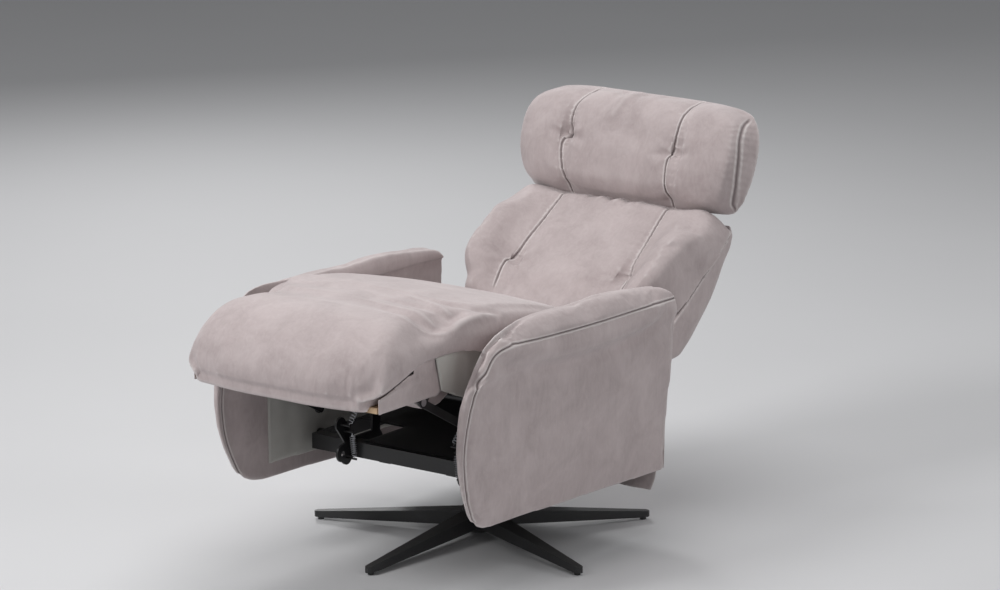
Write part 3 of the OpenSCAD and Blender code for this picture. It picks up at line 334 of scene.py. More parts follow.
zincSteel = makeHard("brightZinc", {
    "colour": (0.62, 0.63, 0.66, 1), "worn": (0.42, 0.43, 0.45, 1), "scuffs": 0.5, "dust": 0.10,
    "metal": 1.0, "rough": (0.22, 0.38), "grain": 500.0, "bump": 0.08})
naturalNylon = makeHard("naturalNylon", {
    "colour": (0.66, 0.65, 0.60, 1), "worn": (0.50, 0.49, 0.45, 1), "scuffs": 0.4, "dust": 0.15,
    "metal": 0.0, "rough": (0.4, 0.55), "grain": 600.0, "bump": 0.08})
blackPlastic = makeHard("blackPlastic", {
    "colour": (0.018, 0.018, 0.019, 1), "worn": (0.05, 0.05, 0.05, 1), "scuffs": 0.4, "dust": 0.15,
    "metal": 0.0, "rough": (0.42, 0.58), "grain": 800.0, "bump": 0.12})
rawPlywood = makePlywood()


def makeFloor():
    material, shelf, surface, coords = startMaterial("paleFloor", **{"Specular IOR Level": 0.3})
    stain = shelf.add("ShaderNodeTexNoise", {"Vector": coords, "Scale": 1.3, "Detail": 4.0})
    colour = colourMix(shelf, stain.outputs["Fac"], (*studio["floor"], 1), (0.63, 0.63, 0.64, 1))
    shelf.tree.links.new(colour, surface.inputs["Base Color"])
    surface.inputs["Roughness"].default_value = 0.62
    bpy.ops.mesh.primitive_circle_add(vertices=96, radius=40, fill_type="NGON", location=(0, 0, 0))
    floor = bpy.context.object
    floor.name = "studioFloor"
    floor.data.materials.append(material)
    floor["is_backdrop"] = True


makeFloor()
print("stage and materials ready")

hardSlots = {"black_steel": chassisPaint, "star_paint": starPaint, "zinc_steel": zincSteel, "nylon": naturalNylon,
             "black_plastic": blackPlastic, "plywood": rawPlywood, "webbing": webbingCloth,
             "lining_cloth": liningCloth, "microfibre": microfibre}
for part in frame["record"]["subparts"]:
    node = nodes[part["node"]]
    node.data.materials.clear()
    node.data.materials.append(hardSlots[part["material_slot"]])
print("carried-over pieces have their materials")


# helpers for soft pieces
def pick(piece):
    bpy.ops.object.select_all(action="DESELECT")
    piece.select_set(True)
    bpy.context.view_layer.objects.active = piece


def points(piece):
    co = np.empty(len(piece.data.vertices) * 3, np.float32)
    piece.data.vertices.foreach_get("co", co)
    return co.reshape(-1, 3).astype(float)


def normals(piece):
    no = np.empty(len(piece.data.vertices) * 3, np.float32)
    piece.data.vertex_normals.foreach_get("vector", no)
    return no.reshape(-1, 3).astype(float)


def setPoints(piece, co):
    piece.data.vertices.foreach_set("co", co.astype(np.float32).ravel())
    piece.data.update()


def applyAll(piece):
    pick(piece)
    for name in [m.name for m in piece.modifiers]:
        bpy.ops.object.modifier_apply(modifier=name)


def toPiece(name, mesh):  # a worked mesh becomes an object of the scene
    data = bpy.data.meshes.new(name)
    mesh.to_mesh(data)
    mesh.free()
    piece = bpy.data.objects.new(name, data)
    scene.collection.objects.link(piece)
    return piece


def thicken(piece, thick, offset):
    wall = piece.modifiers.new("wall", "SOLIDIFY")
    wall.thickness, wall.offset = thick, offset
    applyAll(piece)


def welded(*nodeNames):
    mesh = bmesh.new()
    for nodeName in nodeNames:
        mesh.from_mesh(nodes[nodeName].data)
    bmesh.ops.remove_doubles(mesh, verts=mesh.verts, dist=1e-5)
    return mesh


def copyOf(name, *nodeNames):  # one merged copy of CAD nodes, to work on
    mesh = welded(*nodeNames)
    for face in mesh.faces:
        face.material_index = 0
    return toPiece(name, mesh)


def remesh(piece, size):
    pick(piece)
    piece.data.remesh_voxel_size = size
    bpy.ops.object.voxel_remesh()


def soften(piece, factor, repeat):
    smooth = piece.modifiers.new("soften", "SMOOTH")
    smooth.factor, smooth.iterations = factor, repeat
    applyAll(piece)


def softCopy(name, voxel, *nodeNames):  # a copy with even faces and rounded edges
    piece = copyOf(name, *nodeNames)
    remesh(piece, voxel)
    soften(piece, 0.5, 5)
    return piece


def refine(piece):
    sub = piece.modifiers.new("refine", "SUBSURF")
    sub.levels = sub.render_levels = 1
    applyAll(piece)


# fills a closed cover with pressure; room says how freely each point may move
def puff(piece, room, pressure, start, cap, frames=18):
    co, no = points(piece), normals(piece)
    share = room(co, no)
    setPoints(piece, co - no * (start * share)[:, None])
    rest = points(piece)
    cloth = piece.modifiers.new("puff", "CLOTH")
    fabric = cloth.settings
    fabric.quality = 4
    fabric.mass = 0.35
    fabric.tension_stiffness = fabric.compression_stiffness = 12
    fabric.bending_stiffness = 0.6
    fabric.use_pressure = True
    fabric.uniform_pressure_force = pressure
    fabric.effector_weights.gravity = 0
    cloth.collision_settings.use_collision = False
    cloth.point_cache.frame_start, cloth.point_cache.frame_end = 1, frames
    for step in range(1, frames + 1):
        scene.frame_set(step)
    filled = piece.evaluated_get(bpy.context.evaluated_depsgraph_get())
    moved = np.empty(len(filled.data.vertices) * 3, np.float32)
    filled.data.vertices.foreach_get("co", moved)
    piece.modifiers.remove(cloth)
    scene.frame_set(1)
    travel = moved.reshape(-1, 3).astype(float) - rest
    length = np.linalg.norm(travel, axis=1)
    allowed = cap * share
    travel *= (np.minimum(length, allowed) / np.maximum(length, 1e-9))[:, None]
    setPoints(piece, rest + travel)


def ramp(value, low, high):  # 0 below low, 1 above high, smooth between
    t = np.clip((value - low) / (high - low), 0, 1)
    return t * t * (3 - 2 * t)


def curvePoints(path, steps=12):  # a smooth curve through given points
    path = [np.array(p, float) for p in path]
    ends = [2 * path[0] - path[1], *path, 2 * path[-1] - path[-2]]
    made = []
    for a, b, c, d in zip(ends, ends[1:], ends[2:], ends[3:]):
        for i in range(steps):
            t = i / steps
            made.append(0.5 * (2 * b + (c - a) * t + (2 * a - 5 * b + 4 * c - d) * t * t
                               + (3 * b - a - 3 * c + d) * t ** 3))
    return np.array([*made, path[-1]])


def nearestOn(flat, curve):  # distance to the curve, and how far along it (0 to 1) the nearest place is
    best = np.full(len(flat), 1e9)
    place = np.zeros(len(flat))
    lengths = np.linalg.norm(np.diff(curve, axis=0), axis=1)
    sums = np.concatenate([[0], np.cumsum(lengths)])
    for i, (a, b) in enumerate(zip(curve, curve[1:])):
        along = b - a
        t = np.clip((flat - a) @ along / max(along @ along, 1e-12), 0, 1)
        d = np.linalg.norm(flat - a - t[:, None] * along, axis=1)
        nearer = d < best
        best[nearer] = d[nearer]
        place[nearer] = (sums[i] + t[nearer] * lengths[i]) / sums[-1]
    return best, place


def leanAxes(plan):
    y0, z0 = plan["pivot"]
    c, s = math.cos(plan["angle"]), math.sin(plan["angle"])
    return np.array([0, y0, z0]), np.array([[1, 0, 0], [0, c, s], [0, -s, c]])


def toLean(plan, co):  # x, height along the pad, distance in front of its pivot line
    origin, axes = leanAxes(plan)
    return (co - origin) @ axes.T


def fromLean(plan, local):
    origin, axes = leanAxes(plan)
    return local @ axes + origin


def densify(piece, flatten, paths, reach, cuts=2):  # finer faces along the seams
    mesh = bmesh.new()
    mesh.from_mesh(piece.data)
    flat = flatten(points(piece))
    near = np.zeros(len(flat), bool)
    for path in paths:
        near |= nearestOn(flat, curvePoints(path))[0] < reach
    mesh.verts.ensure_lookup_table()
    edges = [e for e in mesh.edges if near[e.verts[0].index] and near[e.verts[1].index]]
    bmesh.ops.subdivide_edges(mesh, edges=edges, cuts=cuts, use_grid_fill=True)
    mesh.to_mesh(piece.data)
    mesh.free()


class Cover:  # a soft mesh being worked: displacements add up, then press() moves the points
    def __init__(self, piece, plan, facing):
        self.piece, self.co, self.no = piece, points(piece), normals(piece)
        self.flat = plan(self.co)
        self.face = facing(self.co, self.no)
        self.lift = np.zeros(len(self.co))
        self.paintedHighlight = np.zeros(len(self.co))
        self.sewn = np.zeros(len(self.co))

    def seam(self, path, width=0.0017, depth=0.0032, lip=0.0005, ends=(0.03, 0.03), sink=0.0040, spread=0.022):
        d, along = nearestOn(self.flat, curvePoints(path))
        hold = self.face * self.taper(along, ends)
        self.lift += hold * (-depth * np.exp(-(d / width) ** 2) + lip * np.exp(-((d - 2.2 * width) / width) ** 2))
        self.lift -= hold * sink * np.exp(-(d / spread) ** 1.5)
        # painted shade along the bottom of the seam groove
        self.sewn = np.maximum(self.sewn, hold * np.exp(-(d / (0.85 * width)) ** 2))
        # painted highlight on the lip beside the groove
        self.paintedHighlight = np.maximum(self.paintedHighlight, hold * 0.5 * np.exp(-((d - 2.0 * width) / (0.6 * width)) ** 2))

    def gathers(self, path, reach, height, pitch, side=0.0, ends=(0.08, 0.08)):  # short puckers along a seam
        curve = curvePoints(path)
        d, along = nearestOn(self.flat, curve)
        run = along * np.linalg.norm(np.diff(curve, axis=0), axis=1).sum()
        wander = np.array([noise.noise(Vector((float(r) * 22, float(w) * 40, side))) for r, w in zip(run, d)])
        ripple = np.sin(run * (2 * math.pi / pitch) + 2.6 * wander)
        hold = self.face * self.taper(along, ends)
        self.lift += hold * height * ripple * (d / (d + 0.003)) * np.exp(-(d / reach) ** 1.3)

    def fold(self, path, width, height, ends=(0.3, 0.3)):
        d, along = nearestOn(self.flat, curvePoints(path))
        self.lift += self.face * self.taper(along, ends) * height * np.exp(-(d / width) ** 2)

    def rays(self, side, centre, ends, gain):  # short folds that run out from a tuft
        x, up = centre
        for dx, dz, height in ends:
            path = [(side * (x + dx * 0.12), up + dz * 0.12), (side * (x + dx * 0.6), up + dz * 0.55),
                    (side * (x + dx), up + dz)]
            self.fold(path, 0.009, height * gain, (0.15, 0.6))

    def dimple(self, centre, radius, depth):
        d = np.linalg.norm(self.flat - np.array(centre), axis=1)
        self.lift -= self.face * depth * np.exp(-(d / radius) ** 1.4)

    def unevenness(self, scale, height, seed=0.0):
        wave = np.array([noise.noise(Vector(p) * scale + Vector((seed, seed, seed))) for p in self.co])
        self.lift += height * wave

    @staticmethod
    def taper(along, ends):
        shape = np.ones(len(along))
        if ends[0] > 0:
            shape *= ramp(along, 0, ends[0])
        if ends[1] > 0:
            shape *= ramp(1 - along, 0, ends[1])
        return shape

    def press(self):
        setPoints(self.piece, self.co + self.no * self.lift[:, None])
        # the painted highlight and the painted seam shade are written as point attributes
        paint(self.piece, "paintedHighlight", np.clip(self.paintedHighlight + edgeHighlightMask(self.piece), 0, 1))
        paint(self.piece, "sewn", np.clip(self.sewn, 0, 1))


def paint(piece, name, values):
    layer = piece.data.attributes.get(name) or piece.data.attributes.new(name, "FLOAT", "POINT")
    layer.data.foreach_set("value", values.astype(np.float32))


def edgeHighlightMask(piece, gain=26.0, rounds=3):  # high where the surface turns sharply outwards; it masks the painted edge highlight
    edges = np.empty(len(piece.data.edges) * 2, np.int32)
    piece.data.edges.foreach_get("vertices", edges)
    a, b = edges.reshape(-1, 2).T
    co, no = points(piece), normals(piece)
    count = np.bincount(np.concatenate([a, b]), minlength=len(co))
    mean = np.zeros_like(co)
    length = np.zeros(len(co))
    step = np.linalg.norm(co[a] - co[b], axis=1)
    for i, j in ((a, b), (b, a)):
        for k in range(3):
            mean[:, k] += np.bincount(i, co[j][:, k], minlength=len(co))
        length += np.bincount(i, step, minlength=len(co))
    mean /= np.maximum(count, 1)[:, None]
    length /= np.maximum(count, 1)
    turn = np.einsum("ij,ij->i", co - mean, no) / np.maximum(length, 1e-6) ** 2 * 0.001
    for _ in range(rounds):
        total = turn.copy()
        for i, j in ((a, b), (b, a)):
            total += np.bincount(i, turn[j], minlength=len(co))
        turn = total / (count + 1)
    return np.clip(turn * gain - 0.25, 0, 1)


def finishSoft(piece, material, smooth=True):
    piece.data.materials.clear()
    piece.data.materials.append(material)
    pick(piece)
    if smooth:
        bpy.ops.object.shade_smooth()


# seat and legrest under one cover
coverPlan = {"voxel": 0.006, "pressure": 3.5, "start": 0.007, "cap": 0.011,
             "swell": 0.022, "kneeDrop": 0.014, "nearCorner": 0.032, "farCorner": -0.006,
             "puckers": (0.180, 0.196, 0.213, 0.228),
             # each fold: its path over the seat (x, y), its width and its height
             "folds": (
                 (((-0.030, -0.430), (0.105, -0.444), (0.184, -0.440), (0.237, -0.423), (0.258, -0.366),
                   (0.272, -0.300)), 0.0075, 0.0040),
                 (((0.120, -0.478), (0.195, -0.496), (0.234, -0.462), (0.256, -0.405), (0.270, -0.325)),
                  0.0065, 0.0034),
                 (((-0.020, -0.345), (0.063, -0.351), (0.141, -0.364), (0.227, -0.380), (0.257, -0.335),
                   (0.272, -0.280)), 0.0080, 0.0036),
                 (((-0.174, -0.291), (-0.043, -0.325), (0.065, -0.326), (0.165, -0.335), (0.240, -0.300)),
                  0.012, 0.0026),
                 (((-0.005, -0.400), (0.069, -0.405), (0.140, -0.405), (0.213, -0.398), (0.251, -0.355)),
                  0.011, -0.0046),
                 (((0.060, -0.462), (0.150, -0.470), (0.215, -0.450), (0.250, -0.395)), 0.009, -0.0036),
                 (((0.100, -0.338), (0.180, -0.348), (0.240, -0.325), (0.268, -0.262)), 0.010, -0.0036))}


def coverRoom(co, no):  # free on top and in front, held beside the steel and underneath
    up = ramp(no[:, 2], -0.15, 0.5)
    front = ramp(-no[:, 1], 0.3, 0.8) * ramp(-co[:, 1], 0.60, 0.66)
    return np.clip(np.maximum(up, front) * ramp(0.262 - np.abs(co[:, 0]), 0.0, 0.02), 0, 1)


def blendKnee(piece):  # the two pads become one drape where they meet
    co = points(piece)
    y, z = co[:, 1], co[:, 2]
    weight = ramp(-y, 0.37, 0.43) * (1 - ramp(-y, 0.57, 0.64)) * ramp(z, 0.505, 0.535)
    group = piece.vertex_groups.new(name="knee")
    for i in np.nonzero(weight > 0.02)[0]:
        group.add([int(i)], float(weight[i]), "REPLACE")
    smooth = piece.modifiers.new("knee", "SMOOTH")
    smooth.factor, smooth.iterations, smooth.vertex_group = 0.5, 70, "knee"
    applyAll(piece)
    piece.vertex_groups.clear()


def fillSeat(co):  # the seat swells towards the arms, the knee's sides slope, the front corner is round
    x, y, z = co.T
    side = np.abs(x)
    outer = ramp(side, 0.17, 0.262)
    co = co.copy()
    co[:, 0] += (np.sign(x) * coverPlan["swell"] * outer * ramp(y, -0.44, -0.33) * (1 - ramp(y, -0.03, 0.07))
                 * ramp(z, 0.495, 0.53))
    co[:, 2] -= coverPlan["kneeDrop"] * outer * np.exp(-((y + 0.49) / 0.09) ** 2) * ramp(z, 0.525, 0.56)
    front = ramp(-y, 0.63, 0.712) * ramp(side, 0.10, 0.262)
    co[:, 0] -= np.where(x > 0, coverPlan["nearCorner"], coverPlan["farCorner"]) * front
    co[:, 1] += np.where(x > 0, 0.006, 0.002) * front
    return co


def makeCover():
    piece = softCopy("seatAndLegrestCover", coverPlan["voxel"], "seat_cushion", "legrest_pad")
    blendKnee(piece)
    setPoints(piece, fillSeat(points(piece)))
    puff(piece, coverRoom, coverPlan["pressure"], coverPlan["start"], coverPlan["cap"])
    soften(piece, 0.5, 3)
    refine(piece)
    work = Cover(piece, lambda co: co[:, :2],
                 lambda co, no: np.maximum(ramp(no[:, 2], -0.05, 0.4), ramp(-no[:, 1], 0.3, 0.8)))
    # long soft folds that run together at the near arm, with weaker ones towards the far arm
    for path, width, height in coverPlan["folds"]:
        work.fold(path, width, height, (0.45, 0.06))
        work.fold([(-0.9 * x, y + 0.02) for x, y in path], width * 1.3, height * 0.45, (0.5, 0.1))
    for x in coverPlan["puckers"]:
        path = [(x, -0.712), (x + 0.004, -0.690), (x + 0.010, -0.655)]
        work.fold(path, 0.0038, -0.0026 if x < 0.2 else -0.0036, (0.0, 0.8))
    work.unevenness(9.0, 0.0016)
    work.press()
    finishSoft(piece, microfibre)
    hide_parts("seat_cushion", "legrest_pad")
    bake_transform(piece)
    print("seat and legrest cover made", len(piece.data.polygons))


makeCover()


# back cushion and its rear shell
backPlan = {"pivot": (0.240, 0.400), "angle": math.radians(35.5),
            "voxel": 0.006, "pressure": 3.5, "start": 0.007, "cap": 0.011,
            "bolster": 0.044, "middle": 0.012, "crown": 0.008, "belly": 0.028,
            "seam": ((0.1440, 0.398), (0.1450, 0.345), (0.1480, 0.285), (0.1520, 0.225), (0.1550, 0.165),
                     (0.1660, 0.146), (0.1660, 0.110), (0.1600, 0.060)),
            "tuft": (0.157, 0.160),
            # folds from a tuft: across, up, height; pleats below the head: top x, end x, end height, height
            "rays": ((-0.075, -0.020, -0.0022), (-0.060, 0.030, 0.0016), (0.070, 0.010, -0.0018),
                     (0.055, -0.045, 0.0014), (-0.045, -0.055, -0.0014)),
            "pleats": ((-0.055, -0.085, 0.330, -0.0036), (-0.030, -0.048, 0.318, 0.0028),
                       (-0.008, -0.020, 0.312, -0.0044), (0.012, 0.004, 0.325, 0.0034),
                       (0.034, 0.034, 0.330, -0.0036), (0.060, 0.075, 0.338, 0.0026))}


def onLean(plan):  # x and the height along a leaning pad
    y0, z0 = plan["pivot"]
    c, s = math.cos(plan["angle"]), math.sin(plan["angle"])
    return lambda co: np.stack([co[:, 0], (co[:, 1] - y0) * c + (co[:, 2] - z0) * s], 1)


def leanFront(plan):
    c, s = math.cos(plan["angle"]), math.sin(plan["angle"])
    return lambda no: no[:, 1] * -s + no[:, 2] * c


def fillBack(co):  # bolsters that swell forwards, a little more height at the top
    local = toLean(backPlan, co)
    x, up, out = local.T
    front = ramp(out, -0.01, 0.035)
    bolster = backPlan["bolster"] * np.exp(-((np.abs(x) - 0.256) / 0.060) ** 2) * ramp(up, 0.020, 0.065)
    bolster = bolster * (1 - 0.6 * ramp(up, 0.24, 0.38))
    high = ramp(up, 0.32, 0.385)
    local[:, 2] += front * (bolster + backPlan["middle"] * ramp(up, 0.05, 0.15) - 0.002 * high)
    local[:, 1] += front * backPlan["crown"] * high
    local[:, 0] += np.sign(x) * 0.007 * ramp(np.abs(x), 0.2, 0.28) * ramp(up, 0.24, 0.29) * (1 - 0.5 * high)
    return fromLean(backPlan, local)


def makeBack():
    plan, front = onLean(backPlan), leanFront(backPlan)
    piece = softCopy("backCushion", backPlan["voxel"], "back_cushion")
    setPoints(piece, fillBack(points(piece)))
    puff(piece, lambda co, no: ramp(front(no), 0.0, 0.5) * ramp(plan(co)[:, 1], 0.06, 0.14), backPlan["pressure"],
         backPlan["start"], backPlan["cap"])
    soften(piece, 0.5, 3)
    refine(piece)
    seams = [[(side * a, b) for a, b in backPlan["seam"]] for side in (-1, 1)]
    densify(piece, plan, seams, 0.008)
    work = Cover(piece, plan, lambda co, no: ramp(front(no), 0.1, 0.4))
    x, t = backPlan["tuft"]
    for side, seam in zip((-1, 1), seams):
        work.seam(seam, ends=(0.0, 0.12))
        work.gathers(seam, 0.012, 0.0007, 0.017, side)
        work.dimple((side * x, t), 0.020, 0.009)
        work.rays(side, (x, t), backPlan["rays"], 1.3)
    for a, b, c, height in backPlan["pleats"]:
        work.fold([(a, 0.400), ((a + b) / 2, 0.365), (b, c)], 0.0072, height, (0.0, 0.7))
    work.unevenness(9.0, 0.0016, 3.0)
    work.press()
    finishSoft(piece, microfibre)
    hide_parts("back_cushion")
    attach(piece, "back")
    print("back cushion made", len(piece.data.polygons))


makeBack()


def fillShell(co):  # the rear of the back rounds out below its middle
    local = toLean(backPlan, co)
    x, up, out = local.T
    belly = ramp(up, 0.02, 0.10) * (1 - 0.85 * ramp(up, 0.24, 0.38))
    local[:, 2] -= backPlan["belly"] * belly * ramp(-out, 0.028, 0.075)
    return fromLean(backPlan, local)


def makeShell():
    piece = softCopy("backShell", 0.0055, "back_shell")
    setPoints(piece, fillShell(points(piece)))
    refine(piece)
    work = Cover(piece, lambda co: co[:, :2], lambda co, no: np.ones(len(co)))
    work.unevenness(8.0, 0.0018, 5.0)
    work.press()
    finishSoft(piece, microfibre)
    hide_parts("back_shell")
    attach(piece, "back")
    print("back shell made", len(piece.data.polygons))


makeShell()

# head cushion and the pad behind it
headPlan = {"pivot": (0.580016, 0.635038), "angle": math.radians(69),
            "voxel": 0.0055, "pressure": 3.5, "start": 0.007, "cap": 0.012,
            "forward": 0.022, "endsForward": 0.020, "wider": 0.010, "widerMiddle": 0.021,
            "edge": ((0.274, 0.228), (0.290, 0.185), (0.298, 0.130), (0.295, 0.070), (0.281, 0.014)),
            "nearSeam": ((0.1400, 0.255), (0.1430, 0.225), (0.1440, 0.190), (0.1440, 0.155), (0.1430, 0.118),
                         (0.1330, 0.106), (0.1310, 0.085), (0.1340, 0.050), (0.1390, 0.015), (0.1400, -0.004)),
            "farSeam": ((-0.1380, 0.255), (-0.1410, 0.228), (-0.1470, 0.200), (-0.1510, 0.165), (-0.1500, 0.127),
                        (-0.1590, 0.116), (-0.1610, 0.095), (-0.1550, 0.060), (-0.1450, 0.020), (-0.1410, -0.004)),
            "nearTuft": (0.143, 0.116), "farTuft": (-0.151, 0.125),
            "rays": ((-0.070, -0.012, -0.0022), (-0.055, 0.030, 0.0018), (0.060, 0.006, -0.0020),
                     (0.050, 0.035, 0.0014), (-0.050, -0.045, 0.0014)),
            "pleats": ((-0.050, -0.085, 0.150, -0.0040), (-0.018, -0.050, 0.140, 0.0036),
                       (0.004, -0.020, 0.160, -0.0036), (0.040, 0.020, 0.165, 0.0024))}


def fillHead(co):  # a bowed, fuller pillow whose ends are lower and rounder than its middle
    local = toLean(headPlan, co)
    x, up, out = local.T
    share, end = np.clip(up / 0.26, 0, 1), np.abs(x) / 0.284
    middle = 4 * share * (1 - share)
    front = ramp(out, 0.005, 0.05)
    forward = headPlan["forward"] + headPlan["endsForward"] * np.exp(-((np.abs(x) - 0.265) / 0.07) ** 2)
    local[:, 2] += front * forward * np.sqrt(middle)
    local[:, 1] += 0.007 * end ** 4 * (1 - ramp(share, 0, 0.55)) - (0.007 + 0.020 * end ** 5) * ramp(share, 0.45, 1)
    local[:, 1] -= front * 0.007 * (1 - ramp(share, 0, 0.35)) * (1 - np.clip(end, 0, 1) ** 2)
    local[:, 0] += np.sign(x) * (headPlan["wider"] + headPlan["widerMiddle"] * middle) * np.clip(end, 0, 1) ** 2
    return fromLean(headPlan, local)


def makeHead():
    plan, front = onLean(headPlan), leanFront(headPlan)
    piece = softCopy("headCushion", headPlan["voxel"], "head_cushion")
    setPoints(piece, fillHead(points(piece)))
    puff(piece, lambda co, no: ramp(front(no), -0.1, 0.4), headPlan["pressure"], headPlan["start"], headPlan["cap"])
    soften(piece, 0.5, 3)
    refine(piece)
    seams = [headPlan["farSeam"], headPlan["nearSeam"]]
    edges = [[(side * a, b) for a, b in headPlan["edge"]] for side in (-1, 1)]
    densify(piece, plan, seams + edges, 0.008)
    work = Cover(piece, plan, lambda co, no: ramp(front(no), -0.1, 0.25))
    for side, seam, edge, tuft in zip((-1, 1), seams, edges, (headPlan["farTuft"], headPlan["nearTuft"])):
        work.seam(seam, ends=(0.0, 0.0))
        work.gathers(seam, 0.012, 0.0005, 0.019, side + 3.0)
        work.seam(edge, 0.0016, 0.0024, 0.0004, (0.05, 0.05), 0.0016, 0.010)
        work.gathers(edge, 0.014, 0.0006, 0.016, side + 6.0)
        work.dimple(tuft, 0.020, 0.010)
        work.rays(side, (side * tuft[0], tuft[1]), headPlan["rays"], 1.4)
    for a, b, c, height in headPlan["pleats"]:
        work.fold([(a, 0.252), ((a + b) / 2, (0.252 + c) / 2), (b, c)], 0.012, height, (0.05, 0.5))
    work.unevenness(10.0, 0.0014, 7.0)
    work.press()
    finishSoft(piece, microfibre)
    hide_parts("head_cushion")
    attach(piece, "head")
    print("head cushion made", len(piece.data.polygons))


makeHead()


def makeNape():
    plan, front = onLean(headPlan), leanFront(headPlan)
    piece = softCopy("headRearPad", 0.0055, "head_rear_pad")
    puff(piece, lambda co, no: ramp(-front(no), -0.1, 0.4), 3.0, 0.005, 0.009)
    soften(piece, 0.5, 3)
    refine(piece)
    work = Cover(piece, plan, lambda co, no: ramp(-front(no), 0.0, 0.4))
    work.unevenness(10.0, 0.0012, 9.0)
    work.press()
    finishSoft(piece, microfibre)
    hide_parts("head_rear_pad")
    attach(piece, "head")
    print("head rear pad made", len(piece.data.polygons))


makeNape()

# arms
armPlan = {"back": 0.266, "long": 0.768, "foot": 0.141, "high": 0.472, "voxel": 0.0055,
           "slim": 0.29, "slimLess": 0.15, "corner": 0.025, "cornerHigh": 0.016, "cornerLow": 0.010, "rearTip": 0.015,
           "seam": ((0.003, 0.828), (0.04, 0.833), (0.09, 0.837), (0.21, 0.841), (0.335, 0.843), (0.455, 0.847),
                    (0.575, 0.854), (0.672, 0.862), (0.75, 0.871), (0.805, 0.871), (0.857, 0.85), (0.893, 0.799),
                    (0.926, 0.729), (0.951, 0.642), (0.965, 0.553), (0.974, 0.447), (0.969, 0.335), (0.953, 0.231),
                    (0.927, 0.131), (0.909, 0.085)),
           "roll": ((0.035, 0.800), (0.08, 0.784), (0.148, 0.733), (0.28, 0.706), (0.462, 0.704), (0.63, 0.733),
                    (0.768, 0.780), (0.84, 0.812), (0.875, 0.826)),
           "stitch": (0.893, 0.872)}


def armPoint(s):
    return (armPlan["back"] - s[0] * armPlan["long"], armPlan["foot"] + s[1] * armPlan["high"])


def slimArm(co):  # the padded strip sits tighter on the edge and its inner corner is round
    path = [armPoint(s) for s in armPlan["seam"]]
    seam = curvePoints([(path[0][0] + 0.03, path[0][1])] + path)  # it starts behind the arm, so the rear end moves too
    flat = co[:, 1:]
    d, along = nearestOn(flat, seam)
    sums = np.concatenate([[0], np.cumsum(np.linalg.norm(np.diff(seam, axis=0), axis=1))])
    sums /= sums[-1]
    near, ahead, behind = (np.stack([np.interp(np.clip(along + shift, 0, 1), sums, seam[:, k]) for k in (0, 1)], 1)
                           for shift in (0.0, 0.002, -0.002))
    way, off = ahead - behind, flat - near
    outer = way[:, 0] * off[:, 1] - way[:, 1] * off[:, 0] < 0  # the padded side of the seam
    beyond = np.where(outer & (d < 0.10), ramp(1 - along, 0.0, 0.04), 0.0)
    pull = armPlan["slim"] - armPlan["slimLess"] * ramp(co[:, 1], -0.08, 0.04)
    co = co.copy()
    co[:, 1:] += ((near - flat) * (pull * beyond)[:, None])
    co[:, 1] -= armPlan["rearTip"] * ramp(co[:, 1], 0.222, 0.264) * ramp(co[:, 2], 0.51, 0.59)
    inner = np.clip((0.350 - co[:, 0]) / 0.056, 0, 1) ** 1.5
    high, low = ramp(co[:, 2], 0.42, 0.52), 1 - ramp(co[:, 2], 0.15, 0.30)
    front = np.maximum(beyond, np.exp(-(d / 0.045) ** 2)) * ramp(-co[:, 1], 0.20, 0.38)
    co[:, 0] += inner * front * (armPlan["corner"] + armPlan["cornerHigh"] * high - armPlan["cornerLow"] * low)
    return co


def makeArm():
    piece = copyOf("armLeft", "arm_panel_left", "arm_pad_left")
    remesh(piece, armPlan["voxel"])
    setPoints(piece, slimArm(points(piece)))
    soften(piece, 0.5, 6)

    def armRoom(co, no):
        top = ramp(co[:, 2], 0.46, 0.50) * ramp(no[:, 0] + no[:, 2], 0.0, 0.5)
        side = ramp(no[:, 0], 0.4, 0.9) * 0.5
        return np.maximum(top, side) * ramp(np.minimum(co[:, 2] - 0.15, co[:, 1] + 0.50), 0.0, 0.05)
    puff(piece, armRoom, 3.0, 0.006, 0.010)
    soften(piece, 0.5, 2)
    refine(piece)
    seam = [armPoint(s) for s in armPlan["seam"]]
    roll = [armPoint(s) for s in armPlan["roll"]]
    densify(piece, lambda co: co[:, 1:], [seam], 0.007)
    work = Cover(piece, lambda co: co[:, 1:], lambda co, no: ramp(no[:, 0], 0.1, 0.45))
    work.seam(seam, 0.0018, 0.0026, 0.0006, (0.0, 0.0), 0.0016, 0.012)
    work.gathers(seam[:11], 0.010, 0.0004, 0.021, 2.0)
    work.fold([(y, z + 0.030) for y, z in roll], 0.020, 0.0048, (0.12, 0.10))
    work.fold([(y, z - 0.008) for y, z in roll], 0.016, -0.0072, (0.12, 0.10))
    work.fold([(y, z - 0.045) for y, z in roll], 0.045, -0.0030, (0.12, 0.10))
    stitch = armPoint(armPlan["stitch"])
    notch = [(stitch[0] - 0.004, stitch[1] + 0.012), (stitch[0] + 0.004, stitch[1] - 0.012)]
    work.fold(notch, 0.0030, -0.0040, (0.1, 0.1))
    inner = Cover(piece, lambda co: co[:, 1:],
                  lambda co, no: ramp(-no[:, 0], 0.3, 0.7) * (1 - ramp(co[:, 2], 0.50, 0.54)))
    inner.seam(seam[12:], 0.0018, 0.0020, 0.0004, (0.1, 0.0), 0.001, 0.01)
    work.lift += inner.lift
    # the inner seam's painted groove shade joins the outer one
    work.sewn = np.maximum(work.sewn, inner.sewn)
    # and its painted lip highlight, weaker
    work.paintedHighlight = np.maximum(work.paintedHighlight, inner.paintedHighlight * 0.6)
    work.unevenness(8.0, 0.0014, 11.0)
    work.press()
    finishSoft(piece, microfibre)
    mirrored = bpy.data.objects.new("armRight", piece.data.copy())
    scene.collection.objects.link(mirrored)
    mirrored.data.transform(Matrix.Scale(-1, 4, (1, 0, 0)))
    mirrored.data.flip_normals()
    mirrored.data.update()
    for arm, side in ((piece, "left"), (mirrored, "right")):
        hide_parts("arm_panel_" + side, "arm_pad_" + side)
        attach(arm, "chassis")
    print("arms made", len(piece.data.polygons))


makeArm()


